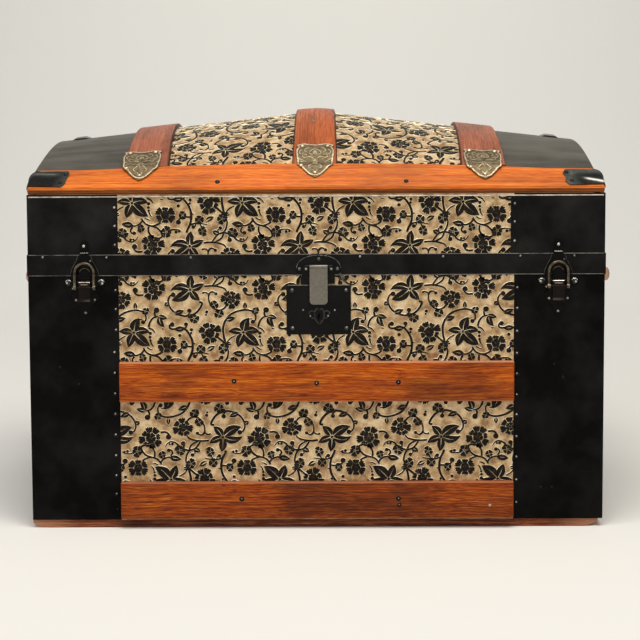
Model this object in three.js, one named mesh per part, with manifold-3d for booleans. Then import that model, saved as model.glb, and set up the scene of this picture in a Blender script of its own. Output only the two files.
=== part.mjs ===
// Dome top trunk: a pine box covered with embossed and black sheet metal, bound with
// wooden slats, with a ridged dome lid, a hasp lock, two draw latches and leather handles.
// Millimetres, +Z up, front towards -Y, origin under the middle of the bottom board.
import * as THREE from 'three';
import { mergeVertices } from 'three/addons/utils/BufferGeometryUtils.js';
import Module from 'manifold-3d';

const wasm = await Module();
wasm.setup();

// Driving dimensions: the box over its sheet metal, the lid line and the dome
const width = 812.8;
const depth = 457.2;
const jointHeight = 362.5;
const lidWallHeight = 115.8;
const bevelRun = 35.6;
const bevelRise = 30.5;
const crownRise = 78.2;
const crownEndRise = 35.7;
const crownRounding = 15;
const gap = 0.3;
const overrun = 3;
const boardThickness = 10;
const bottomThickness = 12;
const tinThickness = 0.8;
const slatThickness = 10;

// Faces that several pieces share
const front = depth / 2;
const side = width / 2;
const boardFront = front - tinThickness - gap;
const boardSide = side - tinThickness - gap;
const boardInner = boardFront - boardThickness;
const bodyLow = bottomThickness + gap;
const bodyTop = jointHeight - gap / 2;
const lidLow = jointHeight + gap / 2;
const lidEdgeHeight = jointHeight + lidWallHeight;

// Frames for flat outlines: where the outline's two axes and its thickness point
const plane = (u, v, w, x = 0, y = 0, z = 0) => new THREE.Matrix4()
  .makeBasis(new THREE.Vector3(...u), new THREE.Vector3(...v), new THREE.Vector3(...w))
  .setPosition(x, y, z);
const planView = plane([1, 0, 0], [0, 1, 0], [0, 0, 1]);
const frontView = plane([1, 0, 0], [0, 0, 1], [0, -1, 0]);
const sideView = plane([0, 1, 0], [0, 0, 1], [1, 0, 0]);

// A flat outline with a thickness, from one distance to another along its frame
function prism(frame, outline, from, to) {
  const shape = new THREE.Shape(outline.map(([u, v]) => new THREE.Vector2(u, v)));
  const geometry = new THREE.ExtrudeGeometry(shape, { depth: to - from, bevelEnabled: false });
  return geometry.translate(0, 0, from).applyMatrix4(frame);
}

function box(x0, x1, y0, y1, z0, z1) {
  const geometry = new THREE.BoxGeometry(x1 - x0, y1 - y0, z1 - z0);
  return geometry.translate((x0 + x1) / 2, (y0 + y1) / 2, (z0 + z1) / 2);
}

const roundSides = 16;

// A round bar along X or Y, between two places on that axis
function bar(axis, from, to, radius, a, b, sides = roundSides) {
  const geometry = new THREE.CylinderGeometry(radius, radius, to - from, sides);
  if (axis === 'x') {
    geometry.rotateZ(-Math.PI / 2);
    return geometry.translate((from + to) / 2, a, b);
  }
  return geometry.translate(a, (from + to) / 2, b);
}

// Points along an arc, and evenly along a line
function arc(u, v, radius, start, end, steps) {
  return Array.from({ length: steps + 1 }, (_, i) => {
    const angle = start + (end - start) * i / steps;
    return [u + radius * Math.cos(angle), v + radius * Math.sin(angle)];
  });
}

function span(from, to, steps) {
  return Array.from({ length: steps + 1 }, (_, i) => from + (to - from) * i / steps);
}

// A right half outline, listed from the bottom up, mirrored into a whole one
const bothSides = half => [...half, ...half.map(([u, v]) => [-u, v]).reverse()
  .filter(([u]) => Math.abs(u) > 0)];

// A closed body from its corners and triangles, turned so that its faces point out
function closed(corners, triangles) {
  let volume = 0;
  for (const [a, b, c] of triangles) {
    volume += corners[a].dot(new THREE.Vector3().crossVectors(corners[b], corners[c]));
  }
  const index = volume > 0 ? triangles : triangles.map(([a, b, c]) => [a, c, b]);
  const geometry = new THREE.BufferGeometry();
  geometry.setAttribute('position', new THREE.Float32BufferAttribute(
    corners.flatMap(corner => corner.toArray()), 3));
  geometry.setIndex(index.flat());
  return geometry;
}

// A sheet with an outer and an inner face, both given as grids of points
function sheet(outer, inner) {
  const rows = outer.length;
  const columns = outer[0].length;
  const corners = [...outer.flat(), ...inner.flat()];
  const at = (layer, i, j) => (layer * rows + i) * columns + j;
  const triangles = [];
  const quad = (a, b, c, d) => triangles.push([a, b, c], [a, c, d]);
  for (let i = 0; i < rows - 1; i += 1) {
    for (let j = 0; j < columns - 1; j += 1) {
      quad(at(0, i, j), at(0, i + 1, j), at(0, i + 1, j + 1), at(0, i, j + 1));
      quad(at(1, i, j), at(1, i, j + 1), at(1, i + 1, j + 1), at(1, i + 1, j));
    }
    quad(at(0, i, 0), at(1, i, 0), at(1, i + 1, 0), at(0, i + 1, 0));
    quad(at(0, i, columns - 1), at(0, i + 1, columns - 1),
      at(1, i + 1, columns - 1), at(1, i, columns - 1));
  }
  for (let j = 0; j < columns - 1; j += 1) {
    quad(at(0, 0, j), at(0, 0, j + 1), at(1, 0, j + 1), at(1, 0, j));
    quad(at(0, rows - 1, j), at(1, rows - 1, j), at(1, rows - 1, j + 1), at(0, rows - 1, j + 1));
  }
  return closed(corners, triangles);
}

// A solid bar through a row of rings with the same number of points
function tube(rings) {
  const around = rings[0].length;
  const corners = rings.flat();
  const triangles = [];
  for (let i = 0; i < rings.length - 1; i += 1) {
    for (let j = 0; j < around; j += 1) {
      const a = i * around + j;
      const b = i * around + (j + 1) % around;
      triangles.push([a, b, b + around], [a, b + around, a + around]);
    }
  }
  const last = (rings.length - 1) * around;
  for (let j = 1; j < around - 1; j += 1) {
    triangles.push([0, j + 1, j], [last, last + j, last + j + 1]);
  }
  return closed(corners, triangles);
}

// Joining and cutting
function toSolid(geometry) {
  const bare = geometry.clone();
  bare.deleteAttribute('normal');
  bare.deleteAttribute('uv');
  const merged = mergeVertices(bare, gap / 1000);
  return new wasm.Manifold(new wasm.Mesh({
    numProp: 3,
    vertProperties: new Float32Array(merged.attributes.position.array),
    triVerts: new Uint32Array(merged.index.array),
  }));
}

function fromSolid(solid) {
  const mesh = solid.getMesh();
  const geometry = new THREE.BufferGeometry();
  geometry.setAttribute('position', new THREE.Float32BufferAttribute(
    Array.from(mesh.vertProperties), 3));
  geometry.setIndex(Array.from(mesh.triVerts));
  return geometry;
}

const join = (...parts) => fromSolid(parts.map(toSolid).reduce((a, b) => a.add(b)));
const cut = (part, ...tools) => fromSolid(tools.map(toSolid)
  .reduce((a, b) => a.subtract(b), toSolid(part)));
const common = (a, b) => fromSolid(toSolid(a).intersect(toSolid(b)));

// The same piece on the other side of the trunk
function mirrored(geometry, x, y) {
  const copy = geometry.index ? geometry.toNonIndexed() : geometry.clone();
  const places = copy.attributes.position;
  const corners = [];
  for (let i = 0; i < places.count; i += 1) {
    corners.push(new THREE.Vector3().fromBufferAttribute(places, i).multiply(
      new THREE.Vector3(x, y, 1)));
  }
  return closed(corners, span(0, corners.length - 3, corners.length / 3 - 1)
    .map(i => [i, i + 1, i + 2]));
}

// Finishes
const pine = () => new THREE.MeshStandardMaterial({ color: 0xa97a4e, roughness: 0.8 });
const brightSlat = () => new THREE.MeshStandardMaterial({ color: 0xd07038, roughness: 0.5 });
const redSlat = () => new THREE.MeshStandardMaterial({ color: 0xb0562a, roughness: 0.55 });
const pinkSlat = () => new THREE.MeshStandardMaterial({ color: 0xb5684a, roughness: 0.55 });
const embossedTin = () => new THREE.MeshStandardMaterial({
  color: 0xb8a27c, roughness: 0.5, metalness: 0.6 });
const blackTin = () => new THREE.MeshStandardMaterial({
  color: 0x1e1e1e, roughness: 0.45, metalness: 0.5 });
const oldBrass = () => new THREE.MeshStandardMaterial({
  color: 0x8f8568, roughness: 0.5, metalness: 0.9 });
const wornSteel = () => new THREE.MeshStandardMaterial({
  color: 0x8e8780, roughness: 0.45, metalness: 0.9 });
const leather = () => new THREE.MeshStandardMaterial({ color: 0xb98468, roughness: 0.7 });

const body = new THREE.Group();
const lid = new THREE.Group();

function place(group, name, geometry, material, x = 0) {
  const mesh = new THREE.Mesh(geometry, material);
  mesh.name = name;
  mesh.position.x = x;
  group.add(mesh);
}

// Lock: its places come first, because the front of the box is cut for it
const lockX = 3.5;
const lockPlateWidth = 91;
const lockPlateHeight = 70.5;
const lockPlateDrop = 13.7;
const lockPlateThickness = 1.2;
const lockCaseWidth = 44;
const lockCaseDrop = 17.5;
const lockCaseHeight = 46;
const lockCaseDepth = 9.5;
const stapleThickness = 3;
const stapleDrop = 37.5;
const stapleHeight = 16;
const stapleReach = 7.6;
const slideClearance = 0.5;
const slotDrop = 3;

const lockFace = front + gap;
const lockPlateTop = jointHeight - lockPlateDrop;
const lockCaseTop = jointHeight - lockCaseDrop;
const lockCaseLow = lockCaseTop - lockCaseHeight;
const stapleLow = jointHeight - stapleDrop;
const slotHalf = stapleThickness / 2 + slideClearance;
const stapleTip = lockFace - stapleReach;
const slotBack = stapleTip - slideClearance;
const slotLow = stapleLow - slotDrop;
const caseBack = lockFace - lockCaseDepth;

// The mortise for the lock case and the slot that the staple rises through
function lockMortise() {
  const half = lockCaseWidth / 2 + gap;
  return join(
    box(lockX - half, lockX + half, -front - overrun, -caseBack + gap,
      lockCaseLow - gap, lockCaseTop + gap),
    box(lockX - slotHalf, lockX + slotHalf, -front - overrun, -slotBack,
      lockCaseTop, jointHeight + overrun));
}

// Box of the body: four boards on a bottom board
const bottomInsetSide = 6;
const bottomInsetFront = 3;

const endInner = boardSide - boardThickness;
const endReach = boardInner - gap;
place(body, 'bottom_board', box(-side + bottomInsetSide, side - bottomInsetSide,
  -front + bottomInsetFront, front - bottomInsetFront, 0, bottomThickness), redSlat());
place(body, 'body_front_board', cut(
  box(-boardSide, boardSide, -boardFront, -boardInner, bodyLow, bodyTop), lockMortise()), pine());
place(body, 'body_back_board',
  box(-boardSide, boardSide, boardInner, boardFront, bodyLow, bodyTop), pine());
for (const [name, sign] of [['left', -1], ['right', 1]]) {
  const board = box(endInner, boardSide, -endReach, endReach, bodyLow, bodyTop);
  place(body, `body_${name}_board`, mirrored(board, sign, 1), pine());
}

// Sheet metal: an embossed front panel, and black covers that start beside it, wrap the
// corner and the end, and meet in the middle of the back
const panelShare = 0.6865;
const panelHalf = side * panelShare;

function cornerCover(low, high) {
  const inFront = front - tinThickness;
  const inSide = side - tinThickness;
  return prism(planView, [
    [panelHalf, -front], [side, -front], [side, front], [gap, front],
    [gap, inFront], [inSide, inFront], [inSide, -inFront], [panelHalf, -inFront],
  ], low, high);
}

function frontPanel(low, high) {
  return box(-panelHalf + gap, panelHalf - gap, -front, -front + tinThickness, low, high);
}

place(body, 'body_front_tin', cut(frontPanel(bodyLow, bodyTop), lockMortise()), embossedTin());
place(body, 'body_left_tin', mirrored(cornerCover(bodyLow, bodyTop), -1, 1), blackTin());
place(body, 'body_right_tin', cornerCover(bodyLow, bodyTop), blackTin());

// Slats of the body, nailed on the front and the back
const upperSlatShare = 0.5062;
const upperSlatWidth = 57;
const lowerSlatLow = 15;
const lowerSlatWidth = 53;

const upperSlatLow = jointHeight * upperSlatShare;
for (const [name, low, high] of [
  ['lower', lowerSlatLow, lowerSlatLow + lowerSlatWidth],
  ['upper', upperSlatLow, upperSlatLow + upperSlatWidth]]) {
  const slat = box(-panelHalf, panelHalf, -front - gap - slatThickness, -front - gap, low, high);
  place(body, `${name}_front_slat`, slat, redSlat());
  place(body, `${name}_back_slat`, mirrored(slat, 1, -1), redSlat());
}

// The dome: its tin's outer face, a circular arc from front to back under a ridge that
// falls from the middle to both ends, with a flat bevel for the slat along each long edge
const domeEndInset = 14.5;
const domeDetailHalf = 64;
const domeHalf = front - bevelRun;
const springHeight = lidEdgeHeight + bevelRise;
const crownHeight = springHeight + crownRise;
const bevelLength = Math.hypot(bevelRun, bevelRise);
const domeEnd = side - domeEndInset;
const roofEnd = domeEnd - tinThickness - gap;

function ridge(x) {
  const fall = (Math.hypot(x, crownRounding) - crownRounding)
    / (Math.hypot(domeEnd, crownRounding) - crownRounding);
  return crownHeight - (crownRise - crownEndRise) * fall;
}

function archRadius(x) {
  const rise = ridge(x) - springHeight;
  return (domeHalf ** 2 + rise ** 2) / (2 * rise);
}

// A point that lies a given thickness outside the tin's outer face, straight above it
function domePoint(x, y, offset) {
  const reach = Math.abs(y);
  if (reach > domeHalf + gap / 1000) {
    const bevelled = springHeight - (reach - domeHalf) * bevelRise / bevelRun;
    return new THREE.Vector3(x, y, bevelled + offset * bevelLength / bevelRun);
  }
  const radius = archRadius(x);
  const drop = Math.sqrt(radius ** 2 - y ** 2);
  return new THREE.Vector3(x, y, ridge(x) - radius + drop + offset * radius / drop);
}

const domeSteps = 16;
const archYs = span(-domeHalf, domeHalf, domeSteps);
const clampedYs = limit => archYs.map(y => Math.max(-limit, Math.min(limit, y)));
// Every sheet and board of the dome is faceted on the same lines, so they stay parallel
const bentSlatShare = 0.5906;
const bentSlatPitch = side * bentSlatShare;
const bentSlatShift = -1.5;
const seamLeft = bentSlatShift - bentSlatPitch;
const seamRight = bentSlatShift + bentSlatPitch;
const middleXs = (from, to) => [
  ...span(from, -domeDetailHalf, 6), ...span(-domeDetailHalf, domeDetailHalf, 12).slice(1),
  ...span(domeDetailHalf, to, 6).slice(1)];
const outerXs = (seam, end) => span(seam, end, 5);
const domeGrid = (xs, ys, offset) => xs.map(x => ys.map(y => domePoint(x, y, offset)));
const domeSheet = (xs, ys, outer, inner) => sheet(domeGrid(xs, ys, outer), domeGrid(xs, ys, inner));

// Lid boards: front and back under the bevels, ends with a rebate for the end slats and an
// arched upper part, and the boards of the dome on top of them
const roofOuter = -tinThickness - gap;
const roofInner = roofOuter - boardThickness;
const endLapHeight = 22;
const endSlatInset = domeEndInset - gap;
const endSlatLow = lidEdgeHeight - gap;

const underRoof = (x, y) => domePoint(x, y, roofInner - gap).z;
const lidFrontBoard = prism(sideView, [
  [-boardFront, lidLow], [-boardInner, lidLow],
  [-boardInner, underRoof(0, boardInner)], [-boardFront, underRoof(0, boardFront)],
], -boardSide, boardSide);
place(lid, 'lid_front_board', lidFrontBoard, pine());
place(lid, 'lid_back_board', mirrored(lidFrontBoard, 1, -1), pine());

const roofYs = [-boardFront, -boardInner, ...archYs, boardInner, boardFront];
const roofXs = [...outerXs(-roofEnd, seamLeft), ...middleXs(seamLeft, seamRight).slice(1),
  ...outerXs(seamRight, roofEnd).slice(1)];
place(lid, 'dome_boards', domeSheet(roofXs, roofYs, roofOuter, roofInner), pine());

const archBoardIn = roofEnd - boardThickness;
const archBoardYs = [-endReach, ...archYs, endReach];
const archBoardLow = endSlatLow - gap - endLapHeight;
const archBoard = prism(sideView, [
  [-endReach, archBoardLow], [endReach, archBoardLow],
  ...archBoardYs.slice().reverse().map(y => [y, underRoof(roofEnd, y)]),
], archBoardIn, roofEnd);
const endBoard = box(roofEnd - gap, boardSide, -endReach, endReach, lidLow, endSlatLow - gap);
const rebatedEnd = cut(join(archBoard, endBoard), prism(sideView, [
  [-side, crownHeight],
  ...roofYs.map(y => [y, underRoof(roofEnd, y)]),
  [side, crownHeight],
], archBoardIn - overrun, side + overrun));
place(lid, 'lid_left_board', mirrored(rebatedEnd, -1, 1), pine());
place(lid, 'lid_right_board', rebatedEnd, pine());

// Sheet metal of the lid: the same covers as on the body, and three sheets on the dome that
// meet under the outer bent slats, the black ones folded down over the ends
const lidTinTop = lidEdgeHeight - 4 * gap;
const domeTinReach = domeHalf - 3 * gap;

place(lid, 'lid_front_tin', frontPanel(lidLow, lidTinTop), embossedTin());
place(lid, 'lid_left_tin', mirrored(cornerCover(lidLow, lidTinTop), -1, 1), blackTin());
place(lid, 'lid_right_tin', cornerCover(lidLow, lidTinTop), blackTin());

const domeTinYs = clampedYs(domeTinReach);
place(lid, 'dome_tin',
  domeSheet(middleXs(seamLeft + gap, seamRight), domeTinYs, 0, -tinThickness), embossedTin());

function domeEndTin(from, to, foldFrom) {
  const roof = domeSheet(outerXs(from, to), domeTinYs, 0, -tinThickness);
  const fold = prism(sideView, [
    [-domeTinReach, endSlatLow], [domeTinReach, endSlatLow],
    ...domeTinYs.slice().reverse().map(y => [y, domePoint(domeEnd, y, -tinThickness / 2).z]),
  ], foldFrom, foldFrom + tinThickness);
  return join(roof, fold);
}

place(lid, 'dome_left_tin', domeEndTin(-domeEnd, seamLeft, -domeEnd), blackTin());
place(lid, 'dome_right_tin',
  domeEndTin(seamRight + gap, domeEnd, domeEnd - tinThickness), blackTin());

// Black strip round the lid's lower edge
const bandThickness = 1;
const bandHeight = 30;

const bandInner = gap;
const bandOuter = gap + bandThickness;
place(lid, 'lid_band', cut(
  box(-side - bandOuter, side + bandOuter, -front - bandOuter, front + bandOuter,
    lidLow, lidLow + bandHeight),
  box(-side - bandInner, side + bandInner, -front - bandInner, front + bandInner,
    lidLow - overrun, lidLow + bandHeight + overrun)), blackTin());

// Slats round the top edge: two long ones on the bevels, and mouldings along the ends
const bevelUp = [0, bevelRun / bevelLength, bevelRise / bevelLength];
const bevelOut = [0, -bevelRise / bevelLength, bevelRun / bevelLength];
const bevelView = plane([1, 0, 0], bevelUp, bevelOut, 0, -front, lidEdgeHeight);
const onBevel = (along, out) => [
  -front + along * bevelUp[1] + out * bevelOut[1],
  lidEdgeHeight + along * bevelUp[2] + out * bevelOut[2]];

const longSlat = prism(bevelView,
  [[-side, 0], [side, 0], [side, bevelLength], [-side, bevelLength]],
  -tinThickness, slatThickness);
place(lid, 'front_top_slat', longSlat, brightSlat());
place(lid, 'back_top_slat', mirrored(longSlat, 1, -1), brightSlat());

const endSlatFace = 12;
const endSlatRise = 30;
const endSlatTopRun = 5;
const endSlatTop = endSlatLow + endSlatRise;
const endSlatReach = domeHalf - 4 * gap;
const endSlatTip = boardFront - 2 * gap;
const underLongSlat = y => domePoint(side, y, -tinThickness - gap).z;
const endSlat = common(
  prism(frontView, [
    [side - endSlatInset, endSlatLow], [side, endSlatLow], [side, endSlatLow + endSlatFace],
    [side - endSlatInset + endSlatTopRun, endSlatTop], [side - endSlatInset, endSlatTop],
  ], -side, side),
  prism(sideView, [
    [-endSlatTip, endSlatLow - overrun], [endSlatTip, endSlatLow - overrun],
    [endSlatTip, underLongSlat(endSlatTip)], [endSlatReach, underLongSlat(endSlatReach)],
    [endSlatReach, endSlatTop + overrun], [-endSlatReach, endSlatTop + overrun],
    [-endSlatReach, underLongSlat(endSlatReach)], [-endSlatTip, underLongSlat(endSlatTip)],
  ], 0, side + overrun));
place(lid, 'left_top_slat', mirrored(endSlat, -1, 1), brightSlat());
place(lid, 'right_top_slat', endSlat, brightSlat());

// Bent slats over the dome, each with a shield clamp that holds its front end
const bentSlatWidth = 56;
const bentSlatThickness = 6.5;
const bentSlatSeat = 0.5;
const shieldThickness = 1.2;
const shieldUp = 34;
const shieldDown = 24;
const shieldHalf = 26.5;
const shieldKnee = 9;
const shieldClearance = 0.6;

const bentSlatReach = domeTinReach - gap;
const bentSlatOut = bentSlatSeat + bentSlatThickness;
const acrossShares = [-1, -0.5, 0, 0.5, 1];

function bentSlat(centre) {
  const xs = span(centre - bentSlatWidth / 2, centre + bentSlatWidth / 2, 6);
  return domeSheet(xs, clampedYs(bentSlatReach), bentSlatOut, bentSlatSeat);
}

// Half widths from the top of the shield to its tip, with where each lies: up to 1 on the
// bent slat, from 1 to 2 on the long slat
const shieldWidthShares = [
  [0, 0.95], [0.25, 1], [0.5, 0.88], [0.9, 0.78], [1, 0.76], [1.3, 0.74], [1.55, 0.46], [1.8, 0.3], [2, 0.08]];

function shieldClamp(centre) {
  const rows = thickness => shieldWidthShares.map(([at, share]) => acrossShares.map(across => {
    const x = centre + across * share * shieldHalf;
    if (at >= 1) {
      const along = bevelLength - (at - 1) * shieldDown;
      return new THREE.Vector3(x, ...onBevel(along, slatThickness + shieldClearance + thickness));
    }
    const y = -domeHalf + shieldKnee + (1 - at) * (shieldUp - shieldKnee);
    return domePoint(x, y, bentSlatOut + shieldClearance + thickness);
  }));
  return sheet(rows(shieldThickness), rows(0));
}

for (const [name, shift] of [['left', -bentSlatPitch], ['middle', 0], ['right', bentSlatPitch]]) {
  place(lid, `${name}_bent_slat`, bentSlat(bentSlatShift + shift), pinkSlat());
  place(lid, `${name}_shield_clamp`, shieldClamp(bentSlatShift + shift), oldBrass());
}

// Corner clamps: a black cap over each end of the long slats, with an ear along the end
const capThickness = 1.2;
const capLengthTop = 56;
const capLengthLow = 44;
const capLipReach = 7;
const capEarDepth = 48;
const capEarLow = 2;
const capEarHeight = 9;

function cornerClamp() {
  const inner = side + gap;
  const outer = inner + capThickness;
  const lip = gap + capThickness;
  const under = slatThickness + gap;
  const over = under + capThickness;
  const face = prism(bevelView, [
    [outer, -lip], [outer, bevelLength - overrun],
    [side - capLengthTop, bevelLength - overrun], [side - capLengthLow, -lip],
  ].reverse(), under, over);
  const hem = box(0, 1, 0, 1, 0, 1);
  hem.applyMatrix4(bevelView.clone().multiply(new THREE.Matrix4().makeTranslation(
    side - capLengthLow, -lip, over - capLipReach)).multiply(
    new THREE.Matrix4().makeScale(outer - side + capLengthLow, capThickness, capLipReach)));
  const earLow = endSlatLow + capEarLow;
  const cheek = prism(sideView, [
    onBevel(-lip, over), onBevel(-lip, 0), [-front + capEarDepth, earLow],
    [-front + capEarDepth, earLow + capEarHeight], onBevel(bevelLength - overrun, 0),
    onBevel(bevelLength - overrun, over)], inner, outer);
  return join(face, hem, cheek);
}

for (const [name, x, y] of [
  ['front_left', -1, 1], ['front_right', 1, 1], ['back_left', -1, -1], ['back_right', 1, -1]]) {
  place(lid, `${name}_corner_clamp`, mirrored(cornerClamp(), x, y), blackTin());
}

// Lock: a plate with its case let into the front board, and a bolt that slides into the eye
// of the hasp's staple
const eyeHeight = 7.2;
const eyeDepth = 4.6;
const eyeWall = 1.5;
const boltClearance = 0.3;
const boltLength = 14;
const boltTravel = 7;
const keyholeDrop = 56;
const keyholeRadius = 2.2;
const keySlotDrop = 6;
const keySlotHalf = 0.9;
const keyDepth = 6;

const keyholeHeight = jointHeight - keyholeDrop;
const eyeMiddle = stapleLow + stapleHeight / 2;
const eyeBack = stapleTip + eyeWall;
const boltRest = slotHalf + 2 * gap;
const boltHalf = eyeHeight / 2 - 2 * boltClearance;
const boltBack = eyeBack + boltClearance;
const boltFront = eyeBack + eyeDepth - boltClearance;
const boltBox = (start, end, spare) => box(lockX + start, lockX + end,
  -boltFront - spare, -boltBack + spare,
  eyeMiddle - boltHalf - spare, eyeMiddle + boltHalf + spare);
const lockPlateFace = lockFace + lockPlateThickness;

place(body, 'lock_plate', cut(
  join(
    box(lockX - lockPlateWidth / 2, lockX + lockPlateWidth / 2, -lockPlateFace, -lockFace,
      lockPlateTop - lockPlateHeight, lockPlateTop),
    box(lockX - lockCaseWidth / 2, lockX + lockCaseWidth / 2, -lockFace - lockPlateThickness / 2,
      -caseBack, lockCaseLow, lockCaseTop)),
  box(lockX - slotHalf, lockX + slotHalf, -lockPlateFace - overrun, -slotBack,
    slotLow, lockPlateTop + overrun),
  boltBox(boltRest - gap - boltTravel - slotHalf, boltRest + boltLength + gap, boltClearance),
  bar('y', -lockPlateFace - overrun, -lockFace + keyDepth, keyholeRadius, lockX, keyholeHeight),
  box(lockX - keySlotHalf, lockX + keySlotHalf, -lockPlateFace - overrun, -lockFace + keyDepth,
    keyholeHeight - keySlotDrop, keyholeHeight)), blackTin());
place(body, 'lock_bolt', boltBox(boltRest, boltRest + boltLength, 0), wornSteel());

// Hasp: an arched plate on the lid's band carries a pin, and the hasp swings on it
const haspPlateThickness = 1.2;
const haspPlateHalf = 31.7;
const haspPlateRise = 5.5;
const haspPlateHeight = 25;
const haspPlateCrownHalf = 9;
const haspAxisRise = 12.7;
const haspKnuckleRadius = 2.6;
const haspPinRadius = 1.2;
const haspBoreRadius = 1.6;
const haspWidth = 25.3;
const haspThickness = 1.6;
const haspDrop = 53.7;
const haspCornerRadius = 5.5;
const haspBarrelLength = 39;
const knuckleGap = 0.4;
const prongWidth = 10;
const prongDrop = 12.2;

const haspPlateLow = jointHeight + haspPlateRise;
const haspAxisHeight = jointHeight + haspAxisRise;
const prongEnd = jointHeight - prongDrop;
const haspPlateBack = front + bandOuter + gap;
const haspPlateFace = haspPlateBack + haspPlateThickness;
const haspAxis = haspPlateFace + gap + haspKnuckleRadius;
const haspHalf = haspWidth / 2;
const barrelHalf = haspBarrelLength / 2;
const haspPlateShares = [[0.93, 0], [1, 0.1], [0.97, 0.4], [0.72, 0.62], [0.5, 0.85]];

function haspPlate() {
  const outline = bothSides([
    ...haspPlateShares.map(([u, v]) => [u * haspPlateHalf, haspPlateLow + v * haspPlateHeight]),
    [haspPlateCrownHalf, haspPlateLow + haspPlateHeight]]);
  const pieces = [prism(frontView, outline, haspPlateBack, haspPlateFace)];
  for (const sign of [-1, 1]) {
    const inner = haspHalf + knuckleGap;
    const ends = [sign * inner, sign * barrelHalf].sort((a, b) => a - b);
    const prong = [sign * inner, sign * (inner + prongWidth)].sort((a, b) => a - b);
    pieces.push(
      bar('x', ends[0], ends[1], haspKnuckleRadius, -haspAxis, haspAxisHeight),
      box(ends[0], ends[1], -haspAxis, -haspPlateFace + haspPlateThickness / 2,
        haspAxisHeight - haspKnuckleRadius * 0.7, haspAxisHeight + haspKnuckleRadius * 0.7),
      box(prong[0], prong[1], -haspPlateFace, -haspPlateBack, prongEnd,
        haspPlateLow + haspPlateHeight / 4));
  }
  pieces.push(bar('x', -barrelHalf, barrelHalf, haspPinRadius, -haspAxis, haspAxisHeight));
  return join(...pieces);
}

function hasp() {
  const low = haspAxisHeight - haspDrop;
  const corner = haspHalf - haspCornerRadius;
  const outline = [
    ...arc(-corner, low + haspCornerRadius, haspCornerRadius, Math.PI, 3 * Math.PI / 2, 6),
    ...arc(corner, low + haspCornerRadius, haspCornerRadius, -Math.PI / 2, 0, 6),
    [haspHalf, haspAxisHeight], [-haspHalf, haspAxisHeight]];
  const leafBack = haspAxis - haspThickness / 2;
  const staple = cut(
    box(-stapleThickness / 2, stapleThickness / 2, -leafBack - haspThickness / 2, -stapleTip,
      stapleLow, stapleLow + stapleHeight),
    box(-stapleThickness, stapleThickness, -eyeBack - eyeDepth, -eyeBack,
      eyeMiddle - eyeHeight / 2, eyeMiddle + eyeHeight / 2));
  return cut(
    join(
      prism(frontView, outline, leafBack, leafBack + haspThickness),
      bar('x', -haspHalf, haspHalf, haspKnuckleRadius, -haspAxis, haspAxisHeight), staple),
    bar('x', -haspWidth, haspWidth, haspBoreRadius, -haspAxis, haspAxisHeight));
}

place(lid, 'hasp_plate', haspPlate(), blackTin(), lockX);
place(lid, 'hasp', hasp(), wornSteel(), lockX);

// Draw latches: a base with two lugs and a pin on the box, a lever on the pin, a wire loop
// on the lever's studs, and a bell shaped keeper on the lid with a tongue inside the loop
const latchSpreadShare = 0.8201;
const latchShift = 7.2;
const latchThickness = 1.5;
const latchBaseHalf = 30;
const latchBaseDrop = 1.5;
const latchBaseHeight = 54;
const latchAxisDrop = 8.5;
const leverRadius = 3;
const leverBore = 1.9;
const latchPinRadius = 1.5;
const latchRun = 0.4;
const lugWidth = 2;
const leverWidth = 16.5;
const leverThickness = 2;
const leverLength = 28;
const leverCurl = 3;
const loopWire = 4;
const loopWidth = 31;
const loopAxisDrop = 16;
const loopTopRise = 20.8;
const loopEyeRadius = 3.4;
const keeperHalf = 20;
const keeperRise = 1.5;
const keeperHeight = 36;
const keeperNeckHalf = 6;
const knobCentreRise = 43.5;
const knobRadius = 5.5;
const knobRise = 3;
const tongueHalf = 8;
const tongueDrop = 4.7;
const tongueTopRise = 8.1;
const tongueThickness = 1.6;
const loopSides = 8;

const latchSpread = side * latchSpreadShare;
const latchBaseTop = jointHeight - latchBaseDrop;
const latchBaseTip = latchBaseTop - latchBaseHeight;
const latchAxisHeight = jointHeight - latchAxisDrop;
const leverEnd = latchAxisHeight - leverLength;
const loopAxisHeight = jointHeight - loopAxisDrop;
const loopTop = jointHeight + loopTopRise;
const keeperLow = jointHeight + keeperRise;
const keeperTop = keeperLow + keeperHeight;
const knobHeight = jointHeight + knobCentreRise;
const tongueLow = jointHeight - tongueDrop;
const tongueTop = jointHeight + tongueTopRise;
const latchBack = front + gap;
const latchFace = latchBack + latchThickness;
const latchAxis = latchFace + latchRun + leverRadius;
const leverHalf = leverWidth / 2;
const lugInner = leverHalf + latchRun;
const lugOuter = lugInner + lugWidth;
const leverBack = latchAxis + leverRadius - leverThickness;
const loopAxis = leverBack + leverThickness / 2;
const loopHalf = loopWidth / 2 - loopWire / 2;
const latchBaseShares = [
  [0.1, 0], [0.22, 0.1], [0.27, 0.22], [0.45, 0.33], [0.64, 0.42], [0.64, 0.53], [0.44, 0.63],
  [0.52, 0.73], [0.8, 0.82], [1, 0.9], [0.97, 1]];
const keeperShares = [[1, 0], [0.93, 0.12], [0.66, 0.3], [0.46, 0.5], [0.34, 0.75]];

function latchBase() {
  const plate = prism(frontView, bothSides(latchBaseShares.map(([u, v]) => [
    u * latchBaseHalf, latchBaseTip + v * latchBaseHeight])), latchBack, latchFace);
  const pieces = [plate];
  for (const sign of [-1, 1]) {
    const [from, to] = [sign * lugInner, sign * lugOuter].sort((a, b) => a - b);
    pieces.push(
      bar('x', from, to, leverRadius, -latchAxis, latchAxisHeight),
      box(from, to, -latchAxis, -latchFace + latchThickness / 2,
        latchAxisHeight - leverRadius, latchAxisHeight + leverRadius));
  }
  pieces.push(bar('x', -lugOuter, lugOuter, latchPinRadius, -latchAxis, latchAxisHeight));
  return join(...pieces);
}

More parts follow.
